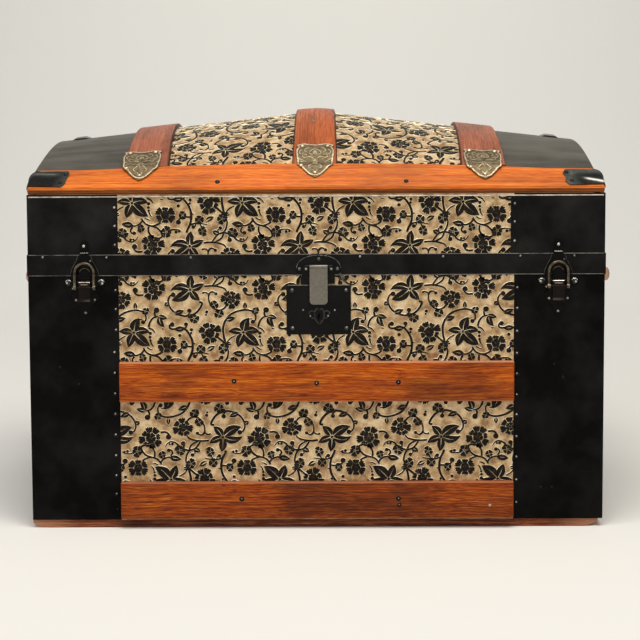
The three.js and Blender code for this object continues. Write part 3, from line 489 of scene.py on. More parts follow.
def draw_repeat():
    """One repeat of the scroll, in millimetres round its upper blossom."""
    e = Embossing(1.42)
    e.blossom((0, 0), [(157, 27, 9.5, 28), (17, 20, 8.5, 8), (90, 20, 9.5, -6),
                       (223, 29, 12, -14), (-60, 19, 9.5, 12)])
    e.blossom((74.5, -61), [(84, 21, 12, -16), (167, 20, 8.5, 10), (20, 22, 9.5, -22),
                            (244, 21, 10.5, 6), (-49, 28, 13, 10)])
    e.vine([(81.5, -42), (87, -41.5)], 1.4, 0.9)
    e.vine([(93, -82), (97, -84.5), (100.5, -85)], 1.6, 0.9)
    for centre, radius, petals, turn in (((-52.3, 1), 16.4, 8, 10), ((27.2, -61.6), 16, 8, 25),
                                         ((57, -14), 13.8, 7, 20), ((-34, -78), 13.8, 6, 30)):
        e.flower(centre, radius, petals, turn, 0.5, 0.14)
        e.flower(centre, radius * 0.52, 5, turn * 2, 0.24, 0.16)
    for k, (u, v, radius) in enumerate((
            (13.6, -84.7, 6), (46, -83.5, 7), (33.3, -21.7, 5.6), (40.2, -34.8, 6),
            (4.6, -41, 6.8), (-9.3, -78.2, 5.4), (-32.7, -102, 7.4), (61, -103, 6.8),
            (-63.5, -30.2, 5), (-68.5, -96.5, 5), (18.2, -101, 6.2))):
        e.flower((u, v), radius * 1.14, 5 if radius > 6 else 4, 37 * k, 0.18, 0.12)
    e.vine([(12.4, -17.8), (16.7, -19), (13.6, -26.3), (7, -33.6), (-3.1, -37.6),
            (-13.9, -36.4), (-24, -31), (-29.7, -23.2), (-31.3, -14.7), (-28.3, -8.5),
            (-24, -7)], 2.4, 1.6, 2.1)
    e.leaf((-23, -35), 22, 15, 6.5)
    e.leaf((-31, -19), 215, 7, 6)
    e.vine([(-5, -37), (-1.5, -33.5), (-1.5, -30)], 1.8, 1.2, 1.9)
    e.vine([(49.8, -78.2), (46.7, -65.8), (46.1, -53.4), (49.5, -44.1), (55.7, -36.4),
            (65, -31.4), (77.4, -28.9), (86.7, -31), (91.6, -36.7), (91.8, -43),
            (88, -46)], 2.4, 1.5, 1.9)
    e.leaf((50, -44), 18, 14, 6.5)
    e.leaf((77.4, -27.5), 92, 9.5, 5)
    e.vine([(35.6, -66), (42.6, -71.7), (49.8, -78)], 2.2, 2.2)
    e.vine([(62.7, -65.8), (55, -70.4), (50.3, -78.5), (52.5, -85.6), (53, -90), (51.5, -97),
            (48.2, -103)], 1.5, 2.4)
    e.vine([(-4.2, -103), (-2.7, -98.4), (1, -91), (2.6, -82), (1.9, -72), (-2.3, -62.7),
            (-8.5, -55.7), (-15.5, -54), (-23.2, -56), (-29, -55), (-29.7, -50.6),
            (-26, -49.5)], 2.5, 1.8, 2.1)
    e.leaf((-9, -55.5), 184, 15, 7)
    e.disc((-15.5, -65), 2.6, 6)
    e.vine([(-9, -55.7), (-6, -52.5), (-6.5, -49)], 1.7, 1.1, 1.8)
    e.vine([(2.4, -76), (6.5, -77)], 1.6, 0.9)
    e.vine([(1.3, -81.1), (-8.2, -80.8), (-14, -83.8), (-15.5, -88)], 2.0, 1.4, 2.3)
    e.vine([(1.8, -92), (8.2, -89.8), (17.3, -90.2), (26, -92)], 1.9, 1.0)
    e.vine([(9, -90), (8.2, -94), (5.5, -95)], 1.6, 1.2, 1.7)
    e.vine([(15.5, -92), (18, -97)], 1.6, 1.4)
    e.leaf((23, -86.5), 28, 13, 6, rib=1.1)
    e.vine([(-59.6, -53.1), (-57.3, -45.7), (-52.6, -39.9), (-45.7, -37.8)], 2.2, 1.6)
    e.leaf((-46, -37.6), -14, 14, 6)
    e.leaf((-44.5, -38.5), -84, 17, 7.5, 22)
    e.vine([(-40.5, -55.5), (-36.5, -56)], 1.5, 0.9)
    e.vine([(-49.5, -38.5), (-50.8, -33), (-48, -29)], 2.2, 1.5, 2.5)
    e.vine([(-59.6, -54.2), (-54.2, -56.5), (-50.3, -61.2)], 1.9, 1.0)
    e.vine([(20.1, 4.6), (29.4, 5.4), (40.2, 4.2), (48, 1.5), (51.1, -2.3)], 2.1, 1.5)
    e.vine([(48.2, 19.1), (40, 16.4), (34.5, 10), (31.5, 5)], 2.1, 1.6)
    e.vine([(48.2, 18.7), (45.5, 12), (39, 7.3), (31.5, 4.5)], 2.1, 1.6)
    e.leaf((40, 17), 150, 9, 6)
    e.vine([(41, 18), (40, 23), (43.5, 25.5)], 1.6, 1.1, 1.7)
    e.vine([(48.2, 19.1), (55.5, 17.3), (61.8, 13.6), (66.4, 8.7), (73.6, 6.2), (79.1, 9),
            (82, 13.5)], 2.2, 0.9)
    e.vine([(58, 16), (55, 12), (56.5, 8.7)], 1.8, 1.3, 2.0)
    beads = [(72, 9.6, 2.2), (75.8, 9.8, 1.7), (23, -31.6, 2.6), (22, -35.8, 1.7),
             (1.2, -57, 2.5), (0.6, -61.6, 1.9), (-57.2, -62, 2.6), (-57.4, -67.2, 2.3),
             (-57, -71.6, 1.9), (-19, -102, 2.4), (-14.6, -101.2, 2.0)]
    for u, v, radius in beads:
        e.disc((u, v), radius, 8)
    e.vine([(-56.8, -73), (-55, -78), (-52.5, -80.5)], 1.6, 0.9)
    e.vine([(-30, -105), (-26, -99.5), (-21.5, -98.5), (-15, -99), (-11.5, -101.5)], 1.8, 0.9)
    e.vine([(18.6, -3.9), (23.2, -4.6), (25.6, -8), (26, -14.7), (28.6, -21.7),
            (34.1, -27.4), (41.8, -29.2), (48, -26.3), (51.1, -21.7)], 1.6, 2.2)
    e.vine([(25.6, -8.4), (27.6, -5), (31.4, -3.1), (36.2, -5.9)], 2.2, 1.2, 1.5)
    e.disc((18.2, -4.6), 1.7)
    e.vine([(-67.3, -82.9), (-61.8, -90.2), (-52.7, -93.3), (-44.5, -91.1), (-40, -88)],
           2.0, 2.0)
    e.vine([(-66, -85.5), (-70, -90.5), (-77, -93.3), (-84, -92.5)], 2.1, 1.6)
    e.leaf((-79, -92.6), 172, 17, 7.5)
    e.vine([(-80, -95), (-83, -99.5), (-81, -103.5), (-77.8, -103.4)], 2.0, 1.3, 1.7)
    e.vine([(-57.6, -94), (-57.3, -102), (-51.8, -108.9), (-43.6, -110.7), (-38.2, -108.4)],
           2.1, 2.0)
    e.vine([(-53.3, -93.3), (-45.5, -96.2), (-39.5, -102.9), (-38.2, -108.8)], 2.1, 2.0)
    e.vine([(-66.5, -7.2), (-73.5, -7.6), (-78, -4.5), (-77.6, -0.5)], 2.2, 1.5, 2.4)
    e.leaf((57, -76), 200, 6, 4.5)
    return e


def lacquered_ground():
    """Tan lacquer over tin: a soft metallic shine, browned in patches and finely speckled."""
    material, tree, place = new_material("tan_lacquered_tin")
    patch, fine, rust = [add(tree, "TexNoise", {"Vector": place, "Scale": scale,
                                                "Detail": detail, "Roughness": grain})
                         for scale, detail, grain in ((62.0, 5.0, 0.6), (700.0, 2.0, 0.5),
                                                      (52.0, 6.0, 0.7))]
    tone = add(tree, "ValToRGB", {0: patch},
               stops=[(0.36, "#92704A"), (0.50, "#C8A87C"), (0.64, "#E6CDA4")])
    browned = add(tree, "MapRange", {0: rust, 1: 0.54, 2: 0.68, 3: 0.0, 4: 0.6})
    mixed = add(tree, "Mix", {0: browned, 6: tone, 7: "#8E5C30"}, data_type="RGBA")
    grain = add(tree, "MapRange", {0: fine, 1: 0.3, 2: 0.7, 3: 0.86, 4: 1.08})
    shown = add(tree, "VectorMath", {0: mixed.outputs[2], 1: grain}, operation="MULTIPLY")
    bump = add(tree, "Bump", {"Height": fine, "Strength": 0.3, "Distance": 0.3 * MM})
    add(tree, "OutputMaterial", {"Surface": add(tree, "BsdfPrincipled", {
        "Base Color": shown, "Metallic": 0.35, "Roughness": 0.42, "Normal": bump})})
    return material


def mottled(name, stops, scale, detail, grain, rough, bump=0.0, metallic=0.0, specular=0.5,
            pores=0.0):
    """A finish clouded by noise: paint, bare metal or leather. With two values of rough the
    cloud makes it duller or brighter too; with pores the bumps are small cells."""
    material, tree, place = new_material(name)
    cloud = add(tree, "TexNoise", {"Vector": place, "Scale": scale, "Detail": detail,
                                   "Roughness": grain})
    sockets = {"Base Color": add(tree, "ValToRGB", {0: cloud}, stops=stops),
               "Roughness": rough, "Metallic": metallic, "Specular IOR Level": specular}
    if isinstance(rough, tuple):
        sockets["Roughness"] = add(tree, "MapRange", {0: cloud, 1: 0.35, 2: 0.65, 3: rough[0],
                                                      4: rough[1]})
    if bump:
        cells = add(tree, "TexVoronoi", {"Vector": place, "Scale": pores}) if pores else cloud
        sockets["Normal"] = add(tree, "Bump", {
            "Height": cells, "Strength": bump, "Distance": (0.4 if pores else 0.3) * MM})
    add(tree, "OutputMaterial", {"Surface": add(tree, "BsdfPrincipled", sockets)})
    return material


def new_rule(name, inputs):
    """An empty geometry node tree with named inputs, and its group input's outputs."""
    tree = bpy.data.node_groups.new(name, "GeometryNodeTree")
    for label, kind in inputs:
        tree.interface.new_socket(name=label, in_out="INPUT", socket_type="NodeSocket" + kind)
    tree.interface.new_socket(name="Geometry", in_out="OUTPUT", socket_type="NodeSocketGeometry")
    return tree, add(tree, "NodeGroupInput").outputs


def repeat_layout():
    """Nodes that lay one flat repeat in columns and rows and give its parts their finishes."""
    tree, given = new_rule("laid_repeats", (
        ("Repeat", "Object"), ("Columns", "Int"), ("Rows", "Int"), ("Width", "Float"),
        ("Height", "Float"), ("Turn", "Float"), ("Middle", "Vector"), ("Tops", "Material"),
        ("Slopes", "Material")))

    def length(count, pitch):
        steps = add(tree, "Math", {0: given[count], 1: 1.0}, operation="SUBTRACT")
        return add(tree, "Math", {0: steps, 1: given[pitch]}, operation="MULTIPLY")

    grid = add(tree, "GeometryNodeMeshGrid", {
        "Size X": length("Columns", "Width"), "Size Y": length("Rows", "Height"),
        "Vertices X": given["Columns"], "Vertices Y": given["Rows"]})
    shown = add(tree, "GeometryNodeObjectInfo", {"Object": given["Repeat"]})
    laid = add(tree, "GeometryNodeInstanceOnPoints", {
        "Points": grid, "Instance": shown.outputs["Geometry"],
        "Rotation": add(tree, "CombineXYZ", {"Z": given["Turn"]})})
    moved = add(tree, "GeometryNodeTransform", {"Geometry": laid, "Translation": given["Middle"]})
    real = add(tree, "GeometryNodeRealizeInstances", {"Geometry": moved})
    sloped = add(tree, "GeometryNodeSetMaterial", {"Geometry": real, "Material": given["Slopes"]})
    is_top = add(tree, "GeometryNodeInputNamedAttribute", {"Name": "raised_top"},
                 data_type="BOOLEAN")
    add(tree, "NodeGroupOutput", {0: add(tree, "GeometryNodeSetMaterial", {
        "Geometry": sloped, "Selection": is_top.outputs["Attribute"],
        "Material": given["Tops"]})})
    return tree


def run_nodes(name, tree, values, start=None):
    """Runs a node tree on a piece with its named inputs, and returns the mesh it makes."""
    carrier = linked(name, start or bpy.data.meshes.new(name))
    modifier = carrier.modifiers.new("made_by_rule", "NODES")
    modifier.node_group = tree
    for item in tree.interface.items_tree:
        if item.in_out == "INPUT" and item.name in values:
            modifier[item.identifier] = values[item.name]
    carrier.update_tag()
    mesh = bpy.data.meshes.new_from_object(
        carrier.evaluated_get(bpy.context.evaluated_depsgraph_get()))
    carrier.modifiers.clear()
    bpy.data.objects.remove(carrier)
    mesh.name = name
    return mesh


def draw_repeat_mesh():
    """The flat repeat as an object that is only laid, never shown."""
    drawn = draw_repeat()
    repeat = new_object("scroll_repeat", [(u * MM, v * MM, h * MM) for u, v, h in drawn.verts],
                        drawn.faces, [])
    tops = repeat.data.attributes.new("raised_top", "BOOLEAN", "FACE")
    tops.data.foreach_set("value", [kind == 0 for kind in drawn.kinds])
    return repeat


def cut_flat(work, places):
    """Cuts closed shells at planes, each a point and the direction of what is cut off."""
    for point, away in places:
        bmesh.ops.bisect_plane(work, geom=work.verts[:] + work.edges[:] + work.faces[:],
                               plane_co=point, plane_no=away, clear_outer=True)
        bmesh.ops.holes_fill(work, edges=[edge for edge in work.edges if edge.is_boundary],
                             sides=0)


scroll_repeat = draw_repeat_mesh()
laid_repeats = repeat_layout()
relief_black = mottled("black_painted_relief",
                       [(0.45, "#0E0B09"), (0.62, "#221A15"), (0.74, "#5A4936")], 130.0, 4.0,
                       0.65, 0.46, specular=0.14)
# Pale slopes of the raised pattern: partly rubbed tin, partly painted highlight where the edges catch
# the light.
relief_pale = mottled("rubbed_tin_edges",
                      [(0.34, "#B39A6E"), (0.50, "#ECDDB8"), (0.64, "#FFF8E2")], 90.0, 4.0, 0.5,
                      0.4, metallic=0.25)
tan_tin = lacquered_ground()


def embossed_relief(name, area, anchor, turned, fold, body, trims=()):
    """The raised scroll over one panel: laid flat, cut to its area, then folded in place."""
    counts, middle = [], []
    for low, high, spread, pitch, at in zip(area[::2], area[1::2], (reach_across, reach_up),
                                            (repeat_width * MM, repeat_height * MM), anchor):
        first = math.floor((low - spread - at) / pitch)
        last = math.ceil((high + spread - at) / pitch)
        counts.append(last - first + 1)
        middle.append(at + (first + last) / 2 * pitch)
    mesh = run_nodes(name, laid_repeats, {
        "Repeat": scroll_repeat, "Columns": counts[0], "Rows": counts[1],
        "Width": repeat_width * MM, "Height": repeat_height * MM,
        "Turn": math.pi if turned else 0.0, "Middle": (*middle, 0.0), "Tops": relief_black,
        "Slopes": relief_pale})
    u0, u1, v0, v1 = area

    def folded(work):
        cut_flat(work, [((u0, 0, 0), (-1, 0, 0)), ((u1, 0, 0), (1, 0, 0)),
                        ((0, v0, 0), (0, -1, 0)), ((0, v1, 0), (0, 1, 0))])
        bmesh.ops.triangulate(work, faces=[face for face in work.faces if len(face.verts) > 4])
        for vert in work.verts:
            vert.co = fold(*vert.co)
        cut_flat(work, trims)
        bmesh.ops.dissolve_degenerate(work, dist=0.001 * MM, edges=work.edges)

    reworked(mesh, folded)
    seat(linked(name, mesh), body)


(panel_left, front_face, _), (panel_right, _, panel_top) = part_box("body_front_tin")
upper_slat_box, lower_slat_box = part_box("upper_front_slat"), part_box("lower_front_slat")


def on_front(u, v, h):
    """Folds the flat pattern onto the upright front."""
    return Vector((u, front_face - h, v))


dress("body_front_tin", tan_tin)
embossed_relief("body_relief_upper", (panel_left, panel_right, upper_slat_box[1][2], panel_top),
                (-177.7 * MM, 342.7 * MM), False, on_front, "box")
embossed_relief("body_relief_lower",
                (panel_left, panel_right, lower_slat_box[1][2], upper_slat_box[0][2]),
                (-133.6 * MM, 131.4 * MM), True, on_front, "box")

# Body slats: red stained softwood with a thin worn varnish, its edges rounded by use and
# rubbed pale. Two run across the front and two across the back between the black covers. The
# lower ones are painted darker: painted shade for the light that falls off towards the bottom.


def softened(node, width, material, body, segments=2, name=None):
    """A copy of a part of the fixed model with its edges rounded, in that part's place."""
    name = name or node + "_worn"
    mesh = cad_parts[node].data.copy()
    mesh.materials.clear()
    mesh.materials.append(material)
    piece = linked(name, mesh)

    def cleaned(work):
        bmesh.ops.remove_doubles(work, verts=work.verts, dist=0.02 * MM)
        bmesh.ops.dissolve_limit(work, angle_limit=math.radians(1.0), verts=work.verts,
                                 edges=work.edges)
        for face in work.faces:
            face.material_index = 0

    reworked(mesh, cleaned)
    rounding = piece.modifiers.new("rounding", "BEVEL")
    rounding.width = width
    rounding.segments = segments
    rounding.limit_method = "ANGLE"
    rounding.angle_limit = sharp_angle
    piece.data = bpy.data.meshes.new_from_object(
        piece.evaluated_get(bpy.context.evaluated_depsgraph_get()))
    piece.modifiers.clear()
    bpy.data.meshes.remove(mesh)
    piece.data.name = name
    shade(piece)
    return seat(piece, body, node)


red_slat_wood = stained_wood("red_stained_slat_wood", "x",
                             ("#4C1300", "#963A00", "#B95405", "#DC8222"), 2.2 * MM,
                             rough=(0.36, 0.52), coat=0.04, dirt=0.5, sway=14 * MM,
                             rubbed="#D69A72")
# Darker wood for the lower slats: painted shade for the light that falls off towards the bottom.
painted_shade_slat_wood = stained_wood("damp_darkened_slat_wood", "x",
                              ("#340F00", "#762A00", "#9E4404", "#CC7422"), 2.2 * MM,
                              rough=(0.36, 0.52), coat=0.04, dirt=0.55, sway=14 * MM,
                              rubbed="#B4714A")
for face in ("front", "back"):
    for level, wood in (("upper", red_slat_wood), ("lower", painted_shade_slat_wood)):
        name = level + "_" + face + "_slat"
        slat = softened(name, 2.2 * MM, wood, "box", segments=3)
        foot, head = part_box(name)[0][2] + 1.7 * MM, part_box(name)[1][2] - 1.7 * MM
        mark(slat, "rubbed", [0.6 if vert.co.z > head else 0.35 if vert.co.z < foot else 0.0
                              for vert in slat.data.vertices])

# Nails: small clout nails with low domed black heads, driven in rows along the edges of the
# sheet metal and singly through the slats. A few stand slightly proud or tilted.


def nail_rule():
    """Nodes that set a domed head on every point, turned along the point's own direction."""
    seed, least_lean, most_lean = 3, [-0.12] * 3, [0.12] * 3
    tree, given = new_rule("nail_heads", (
        ("Points", "Geometry"), ("Head Radius", "Float"), ("Head Height", "Float"),
        ("Head Material", "Material")))
    ball = add(tree, "GeometryNodeMeshUVSphere", {"Segments": 12, "Rings": 6, "Radius": 1.0})
    size = add(tree, "CombineXYZ", {
        "X": given["Head Radius"], "Y": given["Head Radius"], "Z": given["Head Height"]})
    head = add(tree, "GeometryNodeTransform", {"Geometry": ball, "Scale": size})
    facing = add(tree, "GeometryNodeInputNamedAttribute", {"Name": "facing"},
                 data_type="FLOAT_VECTOR").outputs["Attribute"]
    tilt = add(tree, "FunctionNodeRandomValue", {
        0: least_lean, 1: most_lean, "Seed": seed}, data_type="FLOAT_VECTOR")
    leaning = add(tree, "VectorMath", {0: facing, 1: tilt}, operation="ADD")
    turned = add(tree, "FunctionNodeAlignRotationToVector", {"Vector": leaning}, axis="Z")
    spread = add(tree, "FunctionNodeRandomValue", {2: 0.88, 3: 1.1, "Seed": seed},
                 data_type="FLOAT").outputs[1]
    heads = add(tree, "GeometryNodeInstanceOnPoints", {
        "Points": given["Points"], "Instance": head, "Rotation": turned, "Scale": spread})
    real = add(tree, "GeometryNodeRealizeInstances", {"Geometry": heads})
    smooth = add(tree, "GeometryNodeSetShadeSmooth", {"Geometry": real})
    add(tree, "NodeGroupOutput", {0: add(tree, "GeometryNodeSetMaterial", {
        "Geometry": smooth, "Material": given["Head Material"]})})
    return tree


nail_heads = nail_rule()


def nails(name, places, radius, height, material, body):
    """Nail heads at places, each a point and the direction that it faces."""
    start = bpy.data.meshes.new(name)
    start.from_pydata([tuple(point) for point, _ in places], [], [])
    facing = start.attributes.new("facing", "FLOAT_VECTOR", "POINT")
    facing.data.foreach_set("vector", [part for _, way in places for part in way])
    mesh = run_nodes(name, nail_heads, {
        "Head Radius": radius, "Head Height": height, "Head Material": material}, start)
    seat(linked(name, mesh), body)


forward, backward = (0, -1, 0), (0, 1, 0)


def front_nails(name, places, face, radius, height, material, body, x=0.0):
    """Nails that face forward; places (across, up), radius and height are millimetres."""
    nails(name, [((x + u * MM, face, v * MM), forward) for u, v in places], radius * MM,
          height * MM, material, body)


def glints(name, places, radius, rise, body):
    """A painted highlight: a small bright spot a little above the middle of each nail head."""
    nails(name, [(Vector(place) + Vector(way) * 0.9 * MM + Vector((0, 0, rise)), way)
                 for place, way in places], radius, 0.9 * MM, worn_nail_top, body)


black_iron = japanned_tin("black_nail_iron", "#0B0A0A", "#1E1A17", (0.24, 0.36), shine=0.16)
# Pale nail iron: the painted highlights on the nail heads, and one bare nail.
worn_nail_top = japanned_tin("worn_nail_top", "#8A8680", "#CBC6BE", (0.2, 0.3), shine=0.6)
slat_nail_radius, back_seam = 3.4 * MM, 6 * MM
slat_face = upper_slat_box[0][1]
slat_nail_places = [((x * MM, slat_face, z * MM), forward) for x, z in (
    (-116.5, 213.5), (0, 210.5), (115.5, 211.5), (-107, 44.5), (115.5, 44.5), (116.5, 35.5))]
slat_nail_places += [((x * MM, -slat_face, z * MM), backward) for z in (211.5, 41.5)
                     for x in (-200, -70, 70, 200)]
nails("slat_nails", slat_nail_places, slat_nail_radius, 1.5 * MM, black_iron, "box")
glints("slat_nail_glints", slat_nail_places, 1.0 * MM, 0.2 * MM, "box")
# A small pale nail head: partly bare iron, partly painted highlight.
front_nails("bare_slat_nail", [(245, 34)], slat_face, 1.8, 0.8, worn_nail_top, "box")


def edge_nails(name, left, right, behind_rows, body, radius=3.3 * MM, right_inset=4.6 * MM):
    """Upright rows beside the edges of the black covers, each head with a painted highlight."""
    places = [((panel_left - (7.2 if z < 280 else 4.4) * MM, front_face, z * MM), forward)
              for z in left]
    places += [((panel_right + right_inset, front_face, z * MM), forward) for z in right]
    places += [((x, -front_face, z * MM), backward) for x in (-back_seam, back_seam)
               for z in behind_rows]
    nails(name, places, radius, 1.7 * MM, black_iron, body)
    glints(name + "_glints", places, 0.45 * radius, 0.28 * radius, body)


edge_nails("body_edge_nails",
           (49, 75.8, 104.6, 134.6, 164.5, 194, 223.5, 253, 285, 314.5, 341.5),
           (35.2, 67.9, 101, 130.6, 161.9, 190.5, 220.5, 249.8, 281.3, 314, 343.2),
           evenly(52, 346, 10), "box")
front_nails("body_stray_nails", [(-364, 232.5), (-337, 208), (336.5, 234.5), (348.5, 216),
                                 (318.5, 57.5), (334, 57.5), (-285, 27.5)], front_face, 1.8, 1.0,
            black_iron, "box")

# Front of the lid: the same embossed sheet under the top slat, and black covers at both sides,
# held by larger nails. The right cover laps a little over the embossed sheet.
lid_panel_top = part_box("lid_front_tin")[1][2]
band_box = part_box("lid_band")
lap_width, lap_lift = 5 * MM, 1.3 * MM
dress("lid_front_tin", tan_tin)
embossed_relief("lid_front_relief",
                (panel_left, panel_right, band_box[1][2], lid_panel_top - 3 * MM),
                (-177.7 * MM, 404.4 * MM), False, on_front, "lid")
edge_nails("lid_edge_nails", (405, 432, 458), (408.8, 436, 461.6), (407.5, 431.5, 455.5), "lid",
           radius=4 * MM, right_inset=0.4 * MM)
lap = new_object("lid_cover_lap", [(x, y, z) for x in (panel_right - lap_width, panel_right)
                                   for y in (front_face - lap_lift, front_face + 0.3 * MM)
                                   for z in (band_box[1][2] - 1 * MM, lid_panel_top - 4 * MM)],
                 [(0, 1, 3, 2), (4, 6, 7, 5), (0, 4, 5, 1), (2, 3, 7, 6), (0, 2, 6, 4),
                  (1, 5, 7, 3)], [black_tin])
seat(face_out(lap), "lid")

# Dome: three sheets over bent boards, arched from front to back under a ridge that falls away
# from the middle. The middle one is embossed, the black ones fold down over the ends.
dome_half, spring_height = 193 * MM, 508.8 * MM
crown_height, crown_end_height, crown_rounding = 587 * MM, 544.5 * MM, 15 * MM
dome_end = -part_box("dome_left_tin")[0][0]
(seam_left, _, _), (seam_right, dome_reach, _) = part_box("dome_tin")
tin_thickness, arc_steps = 0.8 * MM, 56


def ridge(x):
    """Height of the dome's ridge line."""
    fall = ((math.hypot(x, crown_rounding) - crown_rounding)
            / (math.hypot(dome_end, crown_rounding) - crown_rounding))
    return crown_height - (crown_height - crown_end_height) * fall


def dome_radius(x):
    rise = ridge(x) - spring_height
    return (dome_half ** 2 + rise ** 2) / (2 * rise)


def on_dome(x, arc, out):
    """A point on the dome from its place across, its arc length from the ridge towards the
    back, and its distance outside the sheet metal."""
    radius = dome_radius(x)
    return Vector((x, (radius + out) * math.sin(arc / radius),
                   ridge(x) - radius + (radius + out) * math.cos(arc / radius)))


def half_arc(x, reach):
    """Arc length from the ridge to a reach towards the back."""
    return dome_radius(x) * math.asin(reach / dome_radius(x))


def walled(name, grids, materials):
    """A closed sheet from grids of its outer and inner points."""
    rows, columns = len(grids[0]), len(grids[0][0])
    faces = []

    def quad(*corners):
        """A face through corners, each a layer, a row and a column."""
        faces.append([(layer * rows + i) * columns + j for layer, i, j in corners])

    for i in range(rows - 1):
        for j in range(columns - 1):
            quad((0, i, j), (0, i + 1, j), (0, i + 1, j + 1), (0, i, j + 1))
            quad((1, i, j), (1, i, j + 1), (1, i + 1, j + 1), (1, i + 1, j))
    rim = [(i, 0) for i in range(rows)] + [(rows - 1, j) for j in range(1, columns)]
    rim += [(rows - 1 - i, columns - 1 - j) for i, j in rim[1:-1]]
    for here, ahead in zip(rim, rim[1:] + rim[:1]):
        quad((1, *here), (1, *ahead), (0, *ahead), (0, *here))
    piece = face_out(new_object(name, [p for grid in grids for row in grid for p in row], faces,
                                materials))
    shade(piece)
    return piece


def dust_and_sheen_black():
    """Black varnish painted grey, partly a film of dust and partly painted sheen from the light above,
    in faint slanting streaks.
    """
    material, tree, place = new_material("dusty_black_tin")
    lean = add(tree, "Mapping", {"Vector": place, "Rotation": (0, 0, 0.5),
                                 "Scale": (8.0, 60.0, 30.0)})
    streak = add(tree, "TexNoise", {"Vector": lean, "Scale": 1.0, "Detail": 4.0,
                                    "Roughness": 0.55})
    cloud = add(tree, "TexNoise", {"Vector": place, "Scale": 16.0, "Detail": 4.0})
    mixed = add(tree, "Mix", {0: 0.45, 2: streak, 3: cloud}, data_type="FLOAT")
    tone = add(tree, "ValToRGB", {0: mixed}, stops=[(0.36, "#35332D"), (0.62, "#57544C")])
    bump = add(tree, "Bump", {"Height": cloud, "Strength": 0.4, "Distance": 3 * MM})
    add(tree, "OutputMaterial", {"Surface": add(tree, "BsdfPrincipled", {
        "Base Color": tone, "Roughness": 0.5, "Specular IOR Level": 0.25, "Normal": bump})})
    return material


# The dome's black is painted lighter than the lid's: dust, and painted sheen where the light falls on
# the top.
dome_dust_and_sheen = dust_and_sheen_black()
crest = 60 * MM
crest_places = (evenly(seam_left, -crest, 12) + evenly(-crest, crest, 20)[1:]
                + evenly(crest, seam_right, 12)[1:])
seat(walled("dome_sheet_embossed", [
    [[on_dome(x, share * half_arc(x, dome_reach), out) for share in evenly(-1, 1, arc_steps)]
     for x in crest_places] for out in (0, -tin_thickness)], [tan_tin]),
    "lid", "dome_tin")


def end_sheet(side, seam, sign, flare_top, flare_base):
    """A black sheet from its seam to the end, folded down in a small curve."""
    node = "dome_" + side + "_tin"
    fold_radius, fold_steps, flare_start = 3 * MM, 5, 330 * MM
    edge = dome_end - fold_radius
    shares = evenly(-1, 1, arc_steps)

    def arch(x, out, shift):
        """Points over the dome at x, moved outwards by a share of the sheet's flare."""
        return [on_dome(x, share * half_arc(x, dome_reach), out) + Vector((
            sign * (shift[0] + shift[1] * (flare_top + flare_base * abs(share) ** 3)), 0, 0))
            for share in shares]

    grids = []
    for out in (0, -tin_thickness):
        rows = [arch(x, out, (0, max(0.0, (abs(x) - flare_start) / (edge - flare_start)) ** 2))
                for x in evenly(seam, sign * edge, 14)]
        for turn in evenly(0, math.pi / 2, fold_steps)[1:]:
            rows.append(arch(sign * edge, (fold_radius + out) * math.cos(turn) - fold_radius,
                             ((fold_radius + out) * math.sin(turn), 1)))
        rows.append([Vector((p.x, p.y, min(p.z - 0.2 * MM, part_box(node)[0][2])))
                     for p in rows[-1]])
        grids.append(rows)
    seat(walled("dome_sheet_" + side, grids, [dome_dust_and_sheen]), "lid", node)


end_sheet("left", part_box("dome_left_tin")[1][0], -1, 2.5 * MM, 6.5 * MM)
end_sheet("right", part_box("dome_right_tin")[0][0], 1, 0.5 * MM, 4 * MM)
bent_slat_boxes = [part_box(side + "_bent_slat") for side in ("left", "middle", "right")]
longest = half_arc(0.0, dome_reach) + 5 * MM
for side, before, after in zip(("left", "right"), bent_slat_boxes, bent_slat_boxes[1:]):
    embossed_relief("dome_relief_" + side, (before[1][0], after[0][0], -longest, longest),
                    (-130.7 * MM, -157.4 * MM), True, on_dome, "lid",
                    trims=[((0, dome_reach, 0), (0, 1, 0)), ((0, -dome_reach, 0), (0, -1, 0))])
bpy.data.objects.remove(scroll_repeat)

# Long top slats: bright orange stained and varnished strips nailed on the bevels of the lid.
# They are widest in the middle and planed thinner towards their ends, where the clamps grip.
bevel_depth, bevel_rise = 35.6 * MM, 30.5 * MM
bevel_length = math.hypot(bevel_depth, bevel_rise)
bevel_up = Vector((0, bevel_depth, bevel_rise)) / bevel_length
bevel_out = Vector((0, -bevel_rise, bevel_depth)) / bevel_length
bevel_foot = Vector((0, front_face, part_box("front_top_slat")[0][2] + 0.6 * MM))
slat_thickness, slat_under, slat_rounding = 10 * MM, -0.8 * MM, 2.2 * MM
slat_crown, slat_narrowing, end_cut, end_cut_depth = 5.4 * MM, 0.0776, 14 * MM, 16 * MM
half_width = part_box("front_top_slat")[1][0] - 1.8 * MM
corner_least, corner_across, corner_drop = 1.5 * MM, 12 * MM, 22 * MM
end_thinning, thin_from, foot_gap, foot_fall = 5.5 / 0.65 * MM, 0.25, 3.0 * MM, 14 * MM
orange_tones = ("#8C340C", "#C85A10", "#DE741C", "#F0943A")
varnished_orange, varnished_cross = [
    stained_wood(name, along, orange_tones, 2.4 * MM, rough=(0.3, 0.46), coat=0.2, dirt=0.3)
    for name, along in (("orange_varnished_slat_wood", "x"), ("orange_varnished_moulding", "y"))]
# Darker wood for the faces turned down under the slat's lower edge: painted shade.
shaded_slat_underside_wood = stained_wood("browned_slat_edge", "x",
                              ("#522408", "#8A4416", "#A25A24", "#BC7634"), 2.4 * MM,
                              rough=(0.34, 0.5), coat=0.1, dirt=0.4)


def quarter(past):
    """How far a quarter circle of radius 1 has dropped, from 0 at its start to 1."""
    return 1 - math.sqrt(1 - min(max(past, 0.0), 1.0) ** 2)


def corner_width(along):
    """How much of the slat's end is rounded off, more towards its upper edge."""
    return corner_least + corner_across * min(1.0, along / bevel_length) ** 1.5


